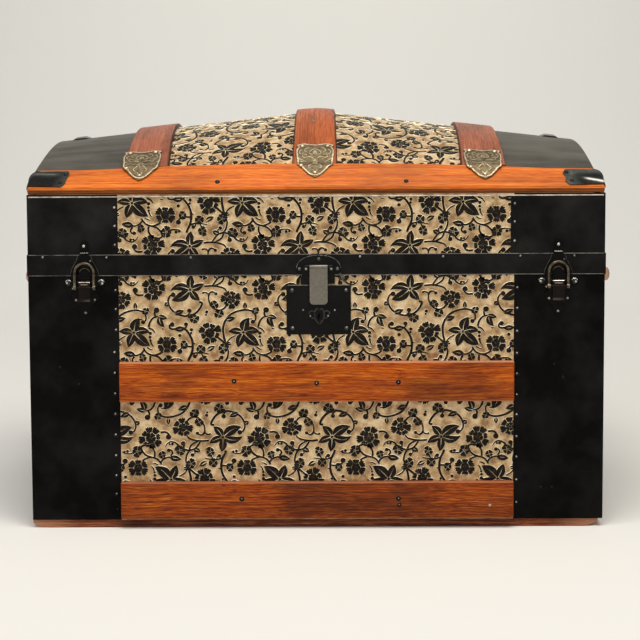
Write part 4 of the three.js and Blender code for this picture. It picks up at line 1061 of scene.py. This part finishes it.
def slat_height(x, along):
    """How far the long slat stands off its bevel: thinner at the ends, rounded at corners."""
    share = min(1.0, along / bevel_length)
    thinned = end_thinning * share * max(0.0, abs(x) / half_width - thin_from) ** 1.5
    past = (abs(x) - (half_width - corner_width(along))) / corner_width(along)
    return (slat_thickness - thinned
            - (corner_least + corner_drop * share ** 1.5) * quarter(past))


def on_bevel(x, along, out):
    return Vector((x, 0, 0)) + bevel_foot + bevel_up * along + bevel_out * out


def turned_back(piece, name):
    """The same piece for the other long side of the trunk."""
    mesh = piece.data.copy()
    mesh.transform(Matrix.Scale(-1, 4, (0, 1, 0)))
    mesh.name = name
    return face_out(linked(name, mesh))


def behind(places):
    """The same places and directions on the back of the trunk."""
    return [(Vector((p[0], -p[1], p[2])), Vector((n[0], -n[1], n[2]))) for p, n in places]


def long_top_slat():
    rings = []
    for x in [half_width * math.sin(math.pi / 2 * share) for share in evenly(-1, 1, 90)]:
        cut = end_cut_depth * quarter((abs(x) - (half_width - end_cut)) / end_cut)
        gap = foot_gap - foot_fall * x * x
        top = bevel_length + slat_crown - slat_narrowing * x * x - cut
        lip = max(top, bevel_length - cut)
        ring = [(4 * MM, slat_under), (0.3 * MM, gap)]
        for share in evenly(0, 1, 20):
            along = top * share
            near_edge = max(0.0, slat_rounding - min(along, top - along))
            worn = slat_rounding - math.sqrt(slat_rounding ** 2 - near_edge ** 2)
            ring.append((along, max(slat_height(x, along) - worn, gap + 0.4 * MM)))
        ring += [(top + 0.2 * MM, min(1.9 * MM, gap + 0.3 * MM)),
                 (lip + 0.1 * MM, min(1.5 * MM, gap + 0.2 * MM)),
                 (min(bevel_length, lip) - 0.6 * MM, slat_under)]
        rings.append([on_bevel(x, along, out) for along, out in ring])
    piece = looped("front_top_slat_worn", rings, [varnished_orange, shaded_slat_underside_wood])
    # Faces turned down take the darker wood: painted shade.
    for face in piece.data.polygons:
        face.material_index = 1 if face.normal.dot(bevel_up) < -0.8 else 0
    return piece


front_long_slat = long_top_slat()
seat(front_long_slat, "lid", "front_top_slat")
seat(turned_back(front_long_slat, "back_top_slat_worn"), "lid",
     "back_top_slat")
nails("top_slat_nails",
      [(on_bevel(x, 13 * MM, slat_thickness), bevel_out) for x in (-138 * MM, 127 * MM)]
      + behind([(on_bevel(x, 20 * MM, slat_thickness), bevel_out)
                for x in (-150 * MM, 150 * MM)]),
      slat_nail_radius, 1.5 * MM, black_iron, "lid")

# End mouldings: short strips of the same wood along the top of both ends, well rounded
# outside. Their ends are mitred to the bevels, under the long slats.
moulding_inner, moulding_outer = 392.2 * MM, 404.6 * MM
moulding_low, moulding_top, moulding_rounding = 478.1 * MM, 508.0 * MM, 10 * MM


def moulding_profile(grow, inner, low):
    """Places (x, z) up the moulding's inside, over its top and round its outer shoulder."""
    radius = moulding_rounding + grow
    return [(inner, moulding_top + grow)] + [
        (moulding_outer - moulding_rounding + radius * math.sin(turn),
         moulding_top - moulding_rounding + radius * math.cos(turn))
        for turn in evenly(0, math.pi / 2, 6)] + [(moulding_outer + grow, low)]


def mitre(z, y_shift=0.0):
    """Where the bevel cuts the moulding at a height, towards the front."""
    return front_face + (z - bevel_foot.z) * bevel_up.y / bevel_up.z + y_shift


for side, sign in (("left", -1), ("right", 1)):
    profile = [(moulding_inner, moulding_low)] + moulding_profile(0, moulding_inner, moulding_low)
    seat(looped(side + "_top_slat_worn",
                [[Vector((sign * x, mitre(z, 0.8 * MM) * share, z)) for x, z in profile]
                 for share in evenly(1, -1, 8)], [varnished_cross]),
         "lid", side + "_top_slat")

# Bent slats: thin strips steamed to the dome's curve, dull brown pink from wear on top. The
# grain follows the bend, and the sides lean out a little towards the feet. The sides are
# painted dark brown as painted shade.
bent_width = bent_slat_boxes[1][1][0] - bent_slat_boxes[1][0][0]
bent_seat, bent_top, bent_rounding = 0.5 * MM, 7 * MM, 1.6 * MM
bent_stretch, bent_flare, side_lean = 1.02, 0.09, 1.6 * MM
bent_reach = bent_slat_boxes[1][1][1]
dull_pink, worn_pink = [
    stained_wood(name, "x", tones, 1.6 * MM, rough=(0.42, 0.62), coat=0.1, dirt=0.4, from_uv=True)
    for name, tones in (("dull_pink_slat_wood", ("#66301E", "#904C34", "#A05C40", "#B27456")),
                        ("worn_pink_slat_wood", ("#742E14", "#A04C20", "#B25A2A", "#C47444")))]
painted_shade_slat_side = stained_wood("grimy_slat_side", "x", ("#2A120A", "#47200F", "#552A16", "#663420"),
                         1.6 * MM, dirt=0.4, from_uv=True)


def bent_slat(side, box, wood):
    """Makes one slat and returns its middle line."""
    middle, half = (box[0][0] + box[1][0]) / 2, bent_width / 2
    profile = [(-half - side_lean, bent_seat)] + [
        (-half + bent_rounding * (1 - math.cos(turn)), bent_top - bent_rounding * (1 - math.sin(turn)))
        for turn in evenly(0, math.pi / 2, 3)]
    corner = [(-across, out) for across, out in reversed(profile)]
    profile += [(across, bent_top)
                for across in evenly(bent_rounding - half, half - bent_rounding, 14)[1:-1]] + corner
    rings, grain = [], []
    for share in evenly(-1, 1, 64):
        placed = [(middle + across * (bent_stretch + bent_flare * share * share), out)
                  for across, out in profile]
        rings.append([on_dome(x, share * half_arc(x, bent_reach), out) for x, out in placed])
        grain += [(share * half_arc(x, bent_reach), x) for x, out in placed]
    piece = looped(side + "_bent_slat_worn", rings, [wood, painted_shade_slat_side])
    # The side faces take the dark wood: painted shade.
    for face in piece.data.polygons:
        face.material_index = 1 if abs(face.normal.x) > 0.7 else 0
    layer = piece.data.uv_layers.new(name="grain")
    for loop in piece.data.loops:
        layer.data[loop.index].uv = grain[loop.vertex_index]
    seat(piece, "lid", side + "_bent_slat")
    return middle


bent_middles = [bent_slat(side, box, wood) for side, box, wood in zip(
    ("left", "middle", "right"), bent_slat_boxes, (dull_pink, worn_pink, dull_pink))]
# Pale heads for the nails on the bent slats: partly rubbed iron, partly painted highlight.
bright_iron = japanned_tin("rubbed_nail_iron", "#6B6259", "#A39A8E", (0.22, 0.34))
nails("bent_slat_nails",
      [(on_dome(x + shift, arc, bent_top), on_dome(x, arc, 1) - on_dome(x, arc, 0))
       for x, shift, arc in ((bent_middles[1], -2 * MM, -98 * MM),
                             (bent_middles[1], -2 * MM, 98 * MM), (bent_middles[0], 0, 120 * MM),
                             (bent_middles[2], 0, 120 * MM))],
      3.4 * MM, 1.4 * MM, bright_iron, "lid")

# Shield clamps: stamped brass, tarnished to a grey olive with bright high spots, with a raised
# rim, leaf scrolls and four rivets. Each holds an end of a bent slat down on the long slat.
shield_lift, shield_plate, shield_scale = 0.7 * MM, 1.0 * MM, 1.06
shield_outline = [(0, 25.2), (3, 25.4), (6, 23.2), (11, 25.8), (18, 26.4), (26, 25.6), (34, 24.8),
                  (42, 24.6), (48, 24.0), (51, 22.0), (53.5, 19.0), (58, 16.6), (64, 12.4),
                  (69, 8.4), (73, 3.8), (75, 0.8)]
shield_length = shield_outline[-1][0]
shield_top_y, shield_arc_end_y = -158 * MM, -187 * MM
shield_step, shield_bevel_start = 13.0, 45.5 * MM
shield_wave, wave_count = 1.6, 0.78
rivet_places = ((-17, 4.6), (17, 4.6), (0, 66.5), (-18.5, 52))
old_brass = mottled("tarnished_brass", [(0.36, "#584C3A"), (0.50, "#72644C"), (0.66, "#8E8062")],
                    160.0, 4.0, 0.6, (0.52, 0.3), 0.15, 0.85)
bright_brass, half_brass = [
    mottled(name, [(0.36, dark), (0.60, light)], 260.0, 3.0, 0.5, 0.32, metallic=0.85)
    for name, dark, light in (("rubbed_brass_rim", "#BCA484", "#F2E0C2"),
                              ("rubbed_brass_scrolls", "#9A8A6C", "#CCBB98"))]


def shield_point(middle, across, run, out):
    """A point on the clamp: across and run are millimetres on the flat stamping, out metres
    above it. The run goes down the bent slat, over its end and down the long slat."""
    x = middle + across * shield_scale * MM
    radius = dome_radius(middle)
    first, last = [radius * math.asin(y / radius) for y in (shield_top_y, shield_arc_end_y)]
    past = run - (first - last) / MM
    upper_out, lower_out = [base + shield_lift + out for base in (bent_top, slat_thickness)]
    if past <= 0:
        return on_dome(x, first - run * MM, upper_out)
    if past <= shield_step:
        share = past / shield_step
        return on_dome(x, last, upper_out).lerp(on_bevel(x, shield_bevel_start, lower_out),
                                                share * share * (3 - 2 * share))
    return on_bevel(x, shield_bevel_start - (past - shield_step) * MM, lower_out)


def shield_width(run):
    for (r0, w0), (r1, w1) in zip(shield_outline, shield_outline[1:]):
        if run <= r1:
            return w0 + (w1 - w0) * (run - r0) / (r1 - r0)
    return shield_outline[-1][1]


def shield_scrolls():
    """The rim and the scrolls of the stamping, drawn flat as raised lines."""
    e = Embossing()
    last = shield_length - 1.2
    right = [(w - 2.0, -r) for r, w in shield_outline if 2 < r < last - 2]
    wave = [(-20, 1.4), (-15, 2.4), (-8, 0.6), (0, -0.8), (8, 0.6), (15, 2.4), (20, 1.4)]
    for side in (-1, 1):
        e.vine([(side * 24.0, -1.8)] + [(side * u, v) for u, v in right]
               + [(0, -last + 2.4)], 1.7, 1.7, steps=2)
    e.vine([(-24.0, -1.8)] + [(u, v - 2.2) for u, v in wave] + [(24.0, -1.8)], 1.8, 1.8, steps=3)
    rim_faces = len(e.faces)
    for stroke in ([(0, -11), (5, -14), (8, -19), (5, -23), (1, -21)],
                   [(3, -30), (8, -27), (14, -29), (17, -25), (14, -22), (11, -24)],
                   [(0, -34), (4, -39), (10, -40), (15, -36), (20, -37)],
                   [(18, -12), (21, -17), (19, -22), (15, -19)],
                   [(8, -8), (13, -11), (14, -16), (11, -17)],
                   [(3, -45), (6, -50), (9, -54), (6, -58)], [(12, -44), (17, -43), (20, -46)],
                   [(22, -30), (19, -33), (16, -32)], [(3, -60), (2, -64), (0, -66)]):
        for side in (1, -1):
            e.vine([(side * u, v) for u, v in stroke], 1.5, 1.0, steps=3)
    e.leaf((0, -36), -90, 14, 6.5, rib=0.9)
    e.leaf((0, -24), 90, 10, 5.5, rib=0.8)
    return e, rim_faces


def moved_behind(pieces, heads):
    """Pieces and nail places of the front, for the back instead."""
    turned = [turned_back(piece, piece.name + "_turned") for piece in pieces]
    for piece in pieces:
        bpy.data.objects.remove(piece)
    return turned, behind(heads)


def shield_clamp(side, middle, back):
    """One clamp: a thin plate that follows both slats, with its scrolls raised on it."""
    name = ("back_" if back else "") + side + "_shield"
    plate = walled(name + "_plate", [[[shield_point(
        middle, across * shield_width(shield_length * share), shield_length * share
        - shield_wave * math.cos(2 * math.pi * across * wave_count - math.pi) * (1 - share) ** 8,
        out)
        for across in evenly(-1, 1, 18)] for share in evenly(0, 1, 46)]
        for out in (shield_plate, 0.0)], [old_brass])
    drawn, rim_faces = shield_scrolls()
    scrolls = new_object(name + "_scrolls", [
        shield_point(middle, u, -v, shield_plate + (h - 0.25) * MM) for u, v, h in drawn.verts],
        drawn.faces, [bright_brass, half_brass, old_brass],
        [2 if kind else 0 if i < rim_faces else 1 for i, kind in enumerate(drawn.kinds)])
    heads = []
    for across, run in rivet_places:
        point, above = [shield_point(middle, across, run, lift * shield_plate) for lift in (1, 2)]
        facing = (above - point).normalized()
        heads.append((point + facing * 0.8 * MM, facing))
    pieces = [plate, scrolls]
    if back:
        pieces, heads = moved_behind(pieces, heads)
    nails(name + "_rivets", heads, 2.6 * MM, 1.9 * MM, bright_brass, "lid")
    seat(pieces[0], "lid", None if back else side + "_shield_clamp")
    seat(pieces[1], "lid")


for side, middle, shift in zip(("left", "middle", "right"), bent_middles,
                               (-7 * MM, 0.5 * MM, 0.0)):
    shield_clamp(side, middle + shift, False)
    shield_clamp(side, middle, True)

# Corner clamps: black caps drawn over the ends of the long slats and round the corner on to
# the end mouldings, each held by two nails at its lobed inner end. Grey patches of painted sheen
# and a bright streak of painted highlight are put into their colour.
clamp_low, clamp_high, clamp_rise = 3.4 * MM, 38.5 * MM, 2.2 * MM
clamp_reach = {-1: (49.5 * MM, 57 * MM), 1: (51 * MM, 54.5 * MM)}
clamp_lobe, clamp_corner = {-1: 0.9 * MM, 1: 2.4 * MM}, 3.2 * MM
clamp_gap, clamp_wall, clamp_swell, clamp_skirt = 0.4 * MM, 1.1 * MM, 2.4 * MM, 12 * MM
end_lift, wing_length, wing_tuck = 2.5 * MM, 46 * MM, 9.5 * MM


def clamp_iron_painted_sheen():
    """Black varnish with painted sheen: grey patches and, along a streak, a bright painted highlight.
    """
    material, tree, place = new_material("rubbed_black_clamp")
    cloud = add(tree, "TexNoise", {"Vector": place, "Scale": 190.0, "Detail": 4.0})
    uneven = add(tree, "Math", {0: cloud, 1: 0.22, 2: -0.1}, operation="MULTIPLY_ADD")
    gleam = add(tree, "Attribute", attribute_name="gleam").outputs[2]
    tone = add(tree, "ValToRGB", {0: add(tree, "Math", {0: gleam, 1: uneven}, operation="ADD")},
               stops=[(0.0, "#090A0B"), (0.34, "#3C3E3B"), (0.6, "#83857F"), (1.0, "#FBF9F4")])
    bump = add(tree, "Bump", {"Height": cloud, "Strength": 0.3, "Distance": 0.6 * MM})
    add(tree, "OutputMaterial", {"Surface": add(tree, "BsdfPrincipled", {
        "Base Color": tone, "Roughness": 0.3, "Specular IOR Level": 0.12, "Normal": bump})})
    return material


sheen_painted_clamp = clamp_iron_painted_sheen()


def clamp_gleam(share, run, sign):
    """How bright the painted sheen and highlight show: share goes up the clamp, run from its inner end
    out.
    """
    if sign > 0:
        patch = min(1.0, max(0.0, share - 0.55) * 4 + max(0.0, 0.45 - run) * 3.4)
        middle = 0.42 - 0.27 * (run - 0.45) / 0.55
        streak = math.exp(-((share - middle) / 0.09) ** 2) * min(1.0, max(0.0, run - 0.4) / 0.25)
        return max(0.36 * patch, streak)
    patch = min(1.0, max(0.0, 0.34 - run) * 3.5 + max(0.0, share - 0.86) * 3)
    streak = math.exp(-((share - 0.78) / 0.13) ** 2) * min(1.0, max(0.0, run - 0.12) / 0.3)
    return max(0.27 * patch, 0.42 * streak)


def clamp_cap(name, sign):
    """The part over the slat: across its face, round the end, then down it."""
    grids, gleams = [], []
    reach_low, reach_high = clamp_reach[sign]
    for lift in (clamp_gap + clamp_wall, clamp_gap):
        grid = []
        for share in evenly(0, 1, 24):
            reach = (reach_low + (reach_high - reach_low) * share
                     + clamp_lobe[sign] * (1 - math.cos(4 * math.pi * share)) / 2
                     - clamp_corner * abs(2 * share - 1) ** 6)
            row = []
            for run in evenly(0, 1, 20):
                low = clamp_low + clamp_rise * run
                along = low + (clamp_high - low) * share
                x = half_width - reach + (reach - corner_width(along)) * run
                swell = clamp_swell * math.sin(math.pi * share) * run
                row.append(on_bevel(sign * x, along, slat_height(x, along) + lift + swell))
                gleams.append(clamp_gleam(share, run, sign))
            for turn in evenly(0, 1, 10)[1:]:
                angle = math.pi / 2 * turn
                x = half_width - corner_width(along) * (1 - math.sin(angle))
                row.append(on_bevel(
                    sign * (x + lift * math.sin(angle)), along + end_lift * share * turn,
                    slat_height(x, along) + (lift + swell) * math.cos(angle)))
                gleams.append(clamp_gleam(share, 1, sign) * math.cos(angle))
            row.append(row[-1] - Vector((0, 0, clamp_skirt * (0.25 + 0.3 * share))))
            gleams.append(0.0)
            grid.append(row)
        grids.append(grid)
    cap = walled(name, grids, [sheen_painted_clamp])
    # The gleam values paint sheen and highlight into the clamp's colour.
    mark(cap, "gleam", gleams)
    return cap


def clamp_wing(name, sign):
    """The part over the end moulding, cut on a slant behind, that tucks under the cap."""
    return walled(name, [[[Vector((sign * x, mitre(z, -wing_tuck) * (1 - share)
                                   + (mitre(z) + wing_length * z / moulding_top) * share, z))
                           for x, z in moulding_profile(lift, moulding_inner - 0.2 * MM,
                                                        moulding_low + 8 * MM)]
                          for share in evenly(0, 1, 6)]
                         for lift in (clamp_gap + 0.5 * MM, clamp_gap - 0.2 * MM)],
                  [sheen_painted_clamp])


for side, sign in (("left", -1), ("right", 1)):
    for end in ("front_", "back_"):
        node = end + side + "_corner_clamp"
        pieces = [clamp_cap(node + "_cap", sign), clamp_wing(node + "_wing", sign)]
        heads = [(on_bevel(sign * (half_width - x), along,
                           slat_height(half_width - x, along) + clamp_gap + clamp_wall), bevel_out)
                 for x, along in ((51 * MM, 31 * MM), (45.5 * MM, 12.5 * MM))]
        if end == "back_":
            pieces, heads = moved_behind(pieces, heads)
        nails(node + "_nails", heads, 3.2 * MM, 1.8 * MM, black_iron, "lid")
        seat(pieces[0], "lid", node)
        seat(pieces[1], "lid")

# Ridge cleats: small black iron feet set across the ridge near both ends.
cleat_width, cleat_run, cleat_rise = 24 * MM, 34 * MM, 4 * MM
polished_black = japanned_tin("polished_black_iron", "#0E0F10", "#222426", (0.14, 0.3),
                              shine=0.5)
for name, middle in (("left_ridge_cleat", -361 * MM), ("right_ridge_cleat", 356 * MM)):
    rings = []
    for share in evenly(-1, 1, 10):
        height = cleat_rise * (1 - max(0.0, abs(share) - 0.5) ** 2 * 3.2)
        rings.append([on_dome(middle + cleat_width / 2 * share, cleat_run / 2 * way, out)
                      for way, out in [(-1, 0.2 * MM), (1, 0.2 * MM)] + [
                          (way, height * (1 - 0.4 * abs(way))) for way in (1, 0.6, 0, -0.6, -1)]])
    seat(looped(name, rings, [polished_black]), "lid")

# Lid band and rolled edges: a flat black band runs round the foot of the lid, with pale lines
# of painted highlight along its edges. The sheet metal under the top slats ends in a bare rolled
# edge.


def rod(name, points, radius, material, body, sides=8):
    """A round closed wire; its points and its radius are millimetres."""
    points = [Vector(p) * MM for p in points]
    rings = []
    for i, point in enumerate(points):
        ahead = (points[min(i + 1, len(points) - 1)] - points[max(i - 1, 0)]).normalized()
        side = Vector((0, -1, 0)) if abs(ahead.y) < 0.9 else Vector((0, 0, 1))
        side = (side - ahead * side.dot(ahead)).normalized()
        other = ahead.cross(side)
        rings.append([point + radius * MM * (side * math.cos(turn) + other * math.sin(turn))
                      for turn in evenly(0, 2 * math.pi, sides)[:-1]])
    seat(looped(name, rings, [material]), body)


def bare_metal(name, dark, light, metallic, rough, scale):
    """Metal mottled between two tones with a fine grain: worn bare metal, and with light tones also
    the painted highlights and sheen on the band, the lock and the latches.
    """
    return mottled(name, [(0.36, dark), (0.62, light)], scale, 5.0, 0.65, rough, 0.2, metallic)


pale_tin = bare_metal("pale_bare_tin_edge", "#8F8A80", "#D8D2C4", 0.5, (0.3, 0.5), 120.0)
# Pale lines along the band's edges: painted highlights.
worn_black_edge = bare_metal("worn_black_edge", "#262422", "#77716A", 0.4, (0.35, 0.5), 70.0)
# Worn brown metal for the tongue arch and the lever, and for the painted highlight along the lock
# plate's top edge.
worn_brown_and_highlight = bare_metal("worn_brown_arch", "#4A3E32", "#8A7A64", 0.5, (0.3, 0.45), 160.0)
# Grey iron for worn nails, pins and knuckles, and for the painted highlights on the lock's rivets.
rubbed_iron_and_highlight = bare_metal("rubbed_grey_iron", "#55534F", "#A8A49C", 0.6, (0.22, 0.34), 240.0)
# Bright iron for small pins and the lever's fold, and for the painted highlights on the latches.
bright_spot = bare_metal("bright_rubbed_iron", "#8C8880", "#E4E0D8", 0.7, (0.2, 0.3), 200.0)
softened("lid_band", 0.5 * MM, black_tin, "lid", segments=1)
for name, face in (("front", -1), ("back", 1)):
    edge = -front_face / MM * face
    rod(name + "_rolled_edge", [(x, edge + 0.3 * face, 474.2) for x in (-404, -200, 0, 200, 404)],
        1.0, pale_tin, "lid")
    # Thin rods of pale colour along the band's edges: painted highlights.
    for label, z in (("low", band_box[0][2] / MM + 0.4), ("high", band_box[1][2] / MM - 0.4)):
        rod(name + "_band_edge_" + label,
            [(x, edge + 1.2 * face, z) for x in (-405, -200, 0, 200, 405)], 0.45,
            worn_black_edge, "lid", sides=6)
nails("band_nails", [((x * MM, band_box[0][1], z * MM), forward) for x, z in (
    (-385, 389.4), (-295.1, 388.8), (-176.1, 388.5), (61.9, 388.9), (178.9, 388.4),
    (287.3, 389), (363.1, 389))]
      + [((x * MM, band_box[1][1], 378 * MM), backward) for x in (-350, -120, 120, 350)],
      1.7 * MM, 1.2 * MM, rubbed_iron_and_highlight, "lid")

# Lock: a black plate over the lock's case with four big rivets, a small raised shield with
# curls round the keyhole, and the steel bolt behind it.
(plate_left, lock_face, _), (plate_right, _, plate_top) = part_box("lock_plate")
lock_middle, keyhole_z = (plate_left + plate_right) / 2, 306.5 * MM
lock_black = japanned_tin("lock_black_japan", "#08090A", "#121110", (0.24, 0.4), shine=0.12)
softened("lock_plate", 0.6 * MM, lock_black, "box")
dress("lock_bolt", bare_metal("worn_steel_bolt", "#6E6A62", "#9A948A", 0.8, (0.3, 0.45), 90.0))
# A thin pale line along the plate's top edge: painted highlight.
rod("lock_plate_top_edge",
    [(x, lock_face / MM + 0.1, plate_top / MM - 0.3)
     for x in (plate_left / MM + 1.5, lock_middle / MM, plate_right / MM - 1.5)],
    0.45, worn_brown_and_highlight, "box", sides=6)
front_nails("lock_rivets", [(-33.9, 341.0), (42.0, 341.0), (-33.8, 287.2), (42.4, 287.2)],
            lock_face, 3.3, 2.0, polished_black, "box")
front_nails("lock_pins", [(-18.4, 313.0), (26.1, 313.0), (-8.5, 304.6), (16.7, 304.8)],
            lock_face, 1.4, 1.0, rubbed_iron_and_highlight, "box")
# Bright spots on the lock's rivet heads: painted highlights.
front_nails("lock_rivet_glints", [(-33.9, 342.2), (42.0, 342.2), (-33.2, 288.4), (42.8, 288.4)],
            lock_face - 1.2 * MM, 1.7, 1.0, rubbed_iron_and_highlight, "box")


def keyhole_shield():
    """Flat strokes of the shield and its curls, as raised lines about the keyhole."""
    e = Embossing()
    for side in (-1, 1):
        for stroke, start, end in (
                ([(5.2, 7.0), (6.6, 1.0), (5.6, -6.0), (3.2, -10.0), (0.4, -13.0)], 1.3, 1.3),
                ([(5.2, 7.0), (3.0, 9.2), (1.0, 6.4)], 1.4, 1.0),
                ([(5.6, 4.0), (10.5, 5.5), (14.5, 3.0), (13.0, 0.2)], 1.4, 0.9),
                ([(6.0, -4.5), (10.0, -5.0), (12.0, -2.6)], 1.2, 0.8)):
            e.vine([(side * u, v) for u, v in stroke], start, end, steps=3)
    return e


drawn = keyhole_shield()
polished_rim = bare_metal("polished_black_rim", "#1A1A1A", "#6A6864", 0.5, (0.2, 0.35), 220.0)
dim_rim = bare_metal("dim_black_rim", "#0E0E0E", "#403D39", 0.4, (0.25, 0.4), 260.0)
seat(face_out(new_object(
    "keyhole_shield", [(lock_middle + 0.9 * MM + u * MM, lock_face + (0.3 - 0.9 * h) * MM,
                        keyhole_z + v * MM) for u, v, h in drawn.verts],
    drawn.faces, [dim_rim])), "box")

# Hasp: a mottled steel strap that swings on an arched black plate riveted to the lid band.
# The arch's rim is worn pale and a small bent tab stands beside it.
hasp_steel = bare_metal("mottled_hasp_steel", "#69655D", "#868177", 0.75, (0.36, 0.52), 700.0)
softened("hasp", 0.7 * MM, hasp_steel, "hasp")
softened("hasp_plate", 0.5 * MM, lock_black, "lid")
hasp_face = -231.6
rod("hasp_plate_rim",
    [(3.5 - 31.0 * math.cos(math.radians(turn)), hasp_face,
      370.6 + 20.6 * math.sin(math.radians(turn)) ** 0.8) for turn in evenly(4, 176, 22)],
    0.7, polished_rim, "lid")
front_nails("hasp_rivets", [(3.9, 385.6), (-23.4, 371.6), (30.2, 372.0)], hasp_face * MM, 2.5,
            1.5, polished_rim, "lid")
for side, x in (("left", -15.5), ("right", 19.8)):
    rod("hasp_knuckle_" + side, [(x + along, -234.3, 372.2) for along in (0, 1.6, 3.2)], 2.2,
        rubbed_iron_and_highlight, "lid", sides=12)
rod("hasp_bent_tab", [(33.0, -231.4, 366.0), (35.4, -232.0, 360.5), (38.2, -232.6, 356.0),
                      (41.0, -232.4, 353.0)], 1.3, polished_rim, "lid")

# Draw latches: black levers that pull a wire loop down from a tongue on the keeper above. Some
# raised edges are rubbed bright, and each base is held by rivets with large round heads. Bright
# crescents over the rivets and the knob, and spots on them, are painted highlights; the lines
# down the keeper's flanks are painted sheen.
latch_black = japanned_tin("latch_black_japan", "#070707", "#100E0C", (0.2, 0.36), shine=0.08)
lever_brown = japanned_tin("lever_rubbed_brown", "#0C0807", "#1E1411", (0.28, 0.42), shine=0.1)
loop_brass = bare_metal("worn_loop_wire", "#2A251F", "#6E6452", 0.85, (0.22, 0.36), 160.0)


def draw_latch(side, x):
    """One latch about its middle line x, in metres; its small parts are in millimetres."""
    for part, width, material, body, slot, segments in (
            ("base", 0.5, latch_black, "box", "black_tin", 2),
            ("lever", 0.6, lever_brown, side + "_lever", "black_tin", 2),
            ("loop", 0.4, loop_brass, side + "_loop", "old_brass", 1),
            ("keeper", 0.6, latch_black, "lid", "black_tin", 2)):
        softened(side + "_latch_" + part, width * MM, material, body, segments,
                 side + "_" + part + "_worn")
    # Glints are painted highlights: bright spots on the ear rivets and the knob.
    for label, places, radius, height, material, body, face in (
            ("ear_rivets", [(-23.2, 353.2), (23.2, 353.2)], 4.4, 2.6, polished_black, "box",
             -230.2),
            ("ear_glints", [(-24.4, 353.2), (24.4, 352.6)], 2.0, 1.4, bright_spot, "box", -231.6),
            ("small_rivets", [(-12.6, 328.6), (13.4, 328.8), (0.4, 310.6)], 1.9, 1.4,
             rubbed_iron_and_highlight, "box", -230.3),
            ("side_pins", [(-16.8, 345.4), (13.6, 347.6)], 1.3, 4.2, bright_spot, "box", -232.0),
            ("knob_glint", [(-0.2, 405.4)], 2.0, 1.0, bright_spot, "lid", -234.3),
            ("keeper_rivet", [(8.2, 384.0)], 1.5, 1.0, polished_rim, "lid", -231.8)):
        front_nails(side + "_" + label, places, face * MM, radius, height, material, body, x=x)

    def line(label, places, face, radius, material, body):
        rod(side + "_" + label, [(x / MM + u, face, z) for u, z in places], radius, material,
            body, sides=6)

    for label, half, z, material, body, face in (
            ("knob_line", 5.6, 395.4, rubbed_iron_and_highlight, "lid", -232.0),
            ("fold_high", 7.6, 354.4, bright_spot, side + "_lever", -236.6),
            ("fold_low", 5.2, 351.0, worn_brown_and_highlight, side + "_lever", -236.6)):
        line(label, [(u * half, z) for u in (-1, 0, 1)], face, 0.6, material, body)
    # The crescents are painted highlights over the ear rivets and the knob.
    for label, u, z, radius, material, body, face in (
            ("crescent_left", -23.2, 353.0, 4.2, bright_spot, "box", -231.4),
            ("crescent_right", 23.2, 353.0, 4.2, bright_spot, "box", -231.4),
            ("crescent_knob", -0.2, 405.6, 4.6, bright_spot, "lid", -233.2),
            ("tongue_arch", 0.0, 366.4, 7.4, worn_brown_and_highlight, "lid", -231.6)):
        turns = [math.radians(turn) for turn in evenly(20, 160, 10)]
        line(label, [(u + radius * math.cos(turn), z + radius * math.sin(turn))
                     for turn in turns], face, 0.5, material, body)
    # Thin lines down the keeper's flanks: painted sheen on its edges.
    for label, way in (("flank_left", -1), ("flank_right", 1)):
        line(label, [(way * u, z) for u, z in ((9.0, 392.0), (11.5, 384.0), (16.5, 375.0),
                                               (19.2, 368.0), (19.6, 365.0))],
             -231.8, 0.6, dim_rim, "lid")


for side in ("left", "right"):
    low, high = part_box(side + "_latch_base")
    draw_latch(side, (low[0] + high[0]) / 2)

# Handles: leather grips of pinkish tan, finely creased and darker with handling, that lift in
# sockets of black iron riveted to both ends.
grip_leather = mottled("pinkish_tan_leather",
                       [(0.34, "#855138"), (0.52, "#AE7A5A"), (0.68, "#C89A76")], 30.0, 4.0, 0.5,
                       0.5, 0.35, pores=620.0)
socket_face = 407.6 * MM
for side, sign in (("left", -1), ("right", 1)):
    softened(side + "_handle", 2.2 * MM, grip_leather, side + "_grip",
             segments=3)
    for end in ("front", "back"):
        socket = side + "_handle_" + end + "_socket"
        softened(socket, 0.7 * MM, black_tin, "box")
        low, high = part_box(socket)
        nails(socket + "_rivets", [((sign * socket_face, (low[1] + high[1]) / 2, z), (sign, 0, 0))
                                   for z in (low[2] + 6 * MM, high[2] - 6 * MM)],
              3.0 * MM, 1.8 * MM, black_iron, "box")

# Hinges: black strap leaves on the back, their edges rounded like the rest of the ironwork.
for side in ("left", "right"):
    for leaf, body in (("lower", "box"), ("upper", "lid")):
        softened(side + "_hinge_" + leaf, 0.6 * MM, black_tin, body)
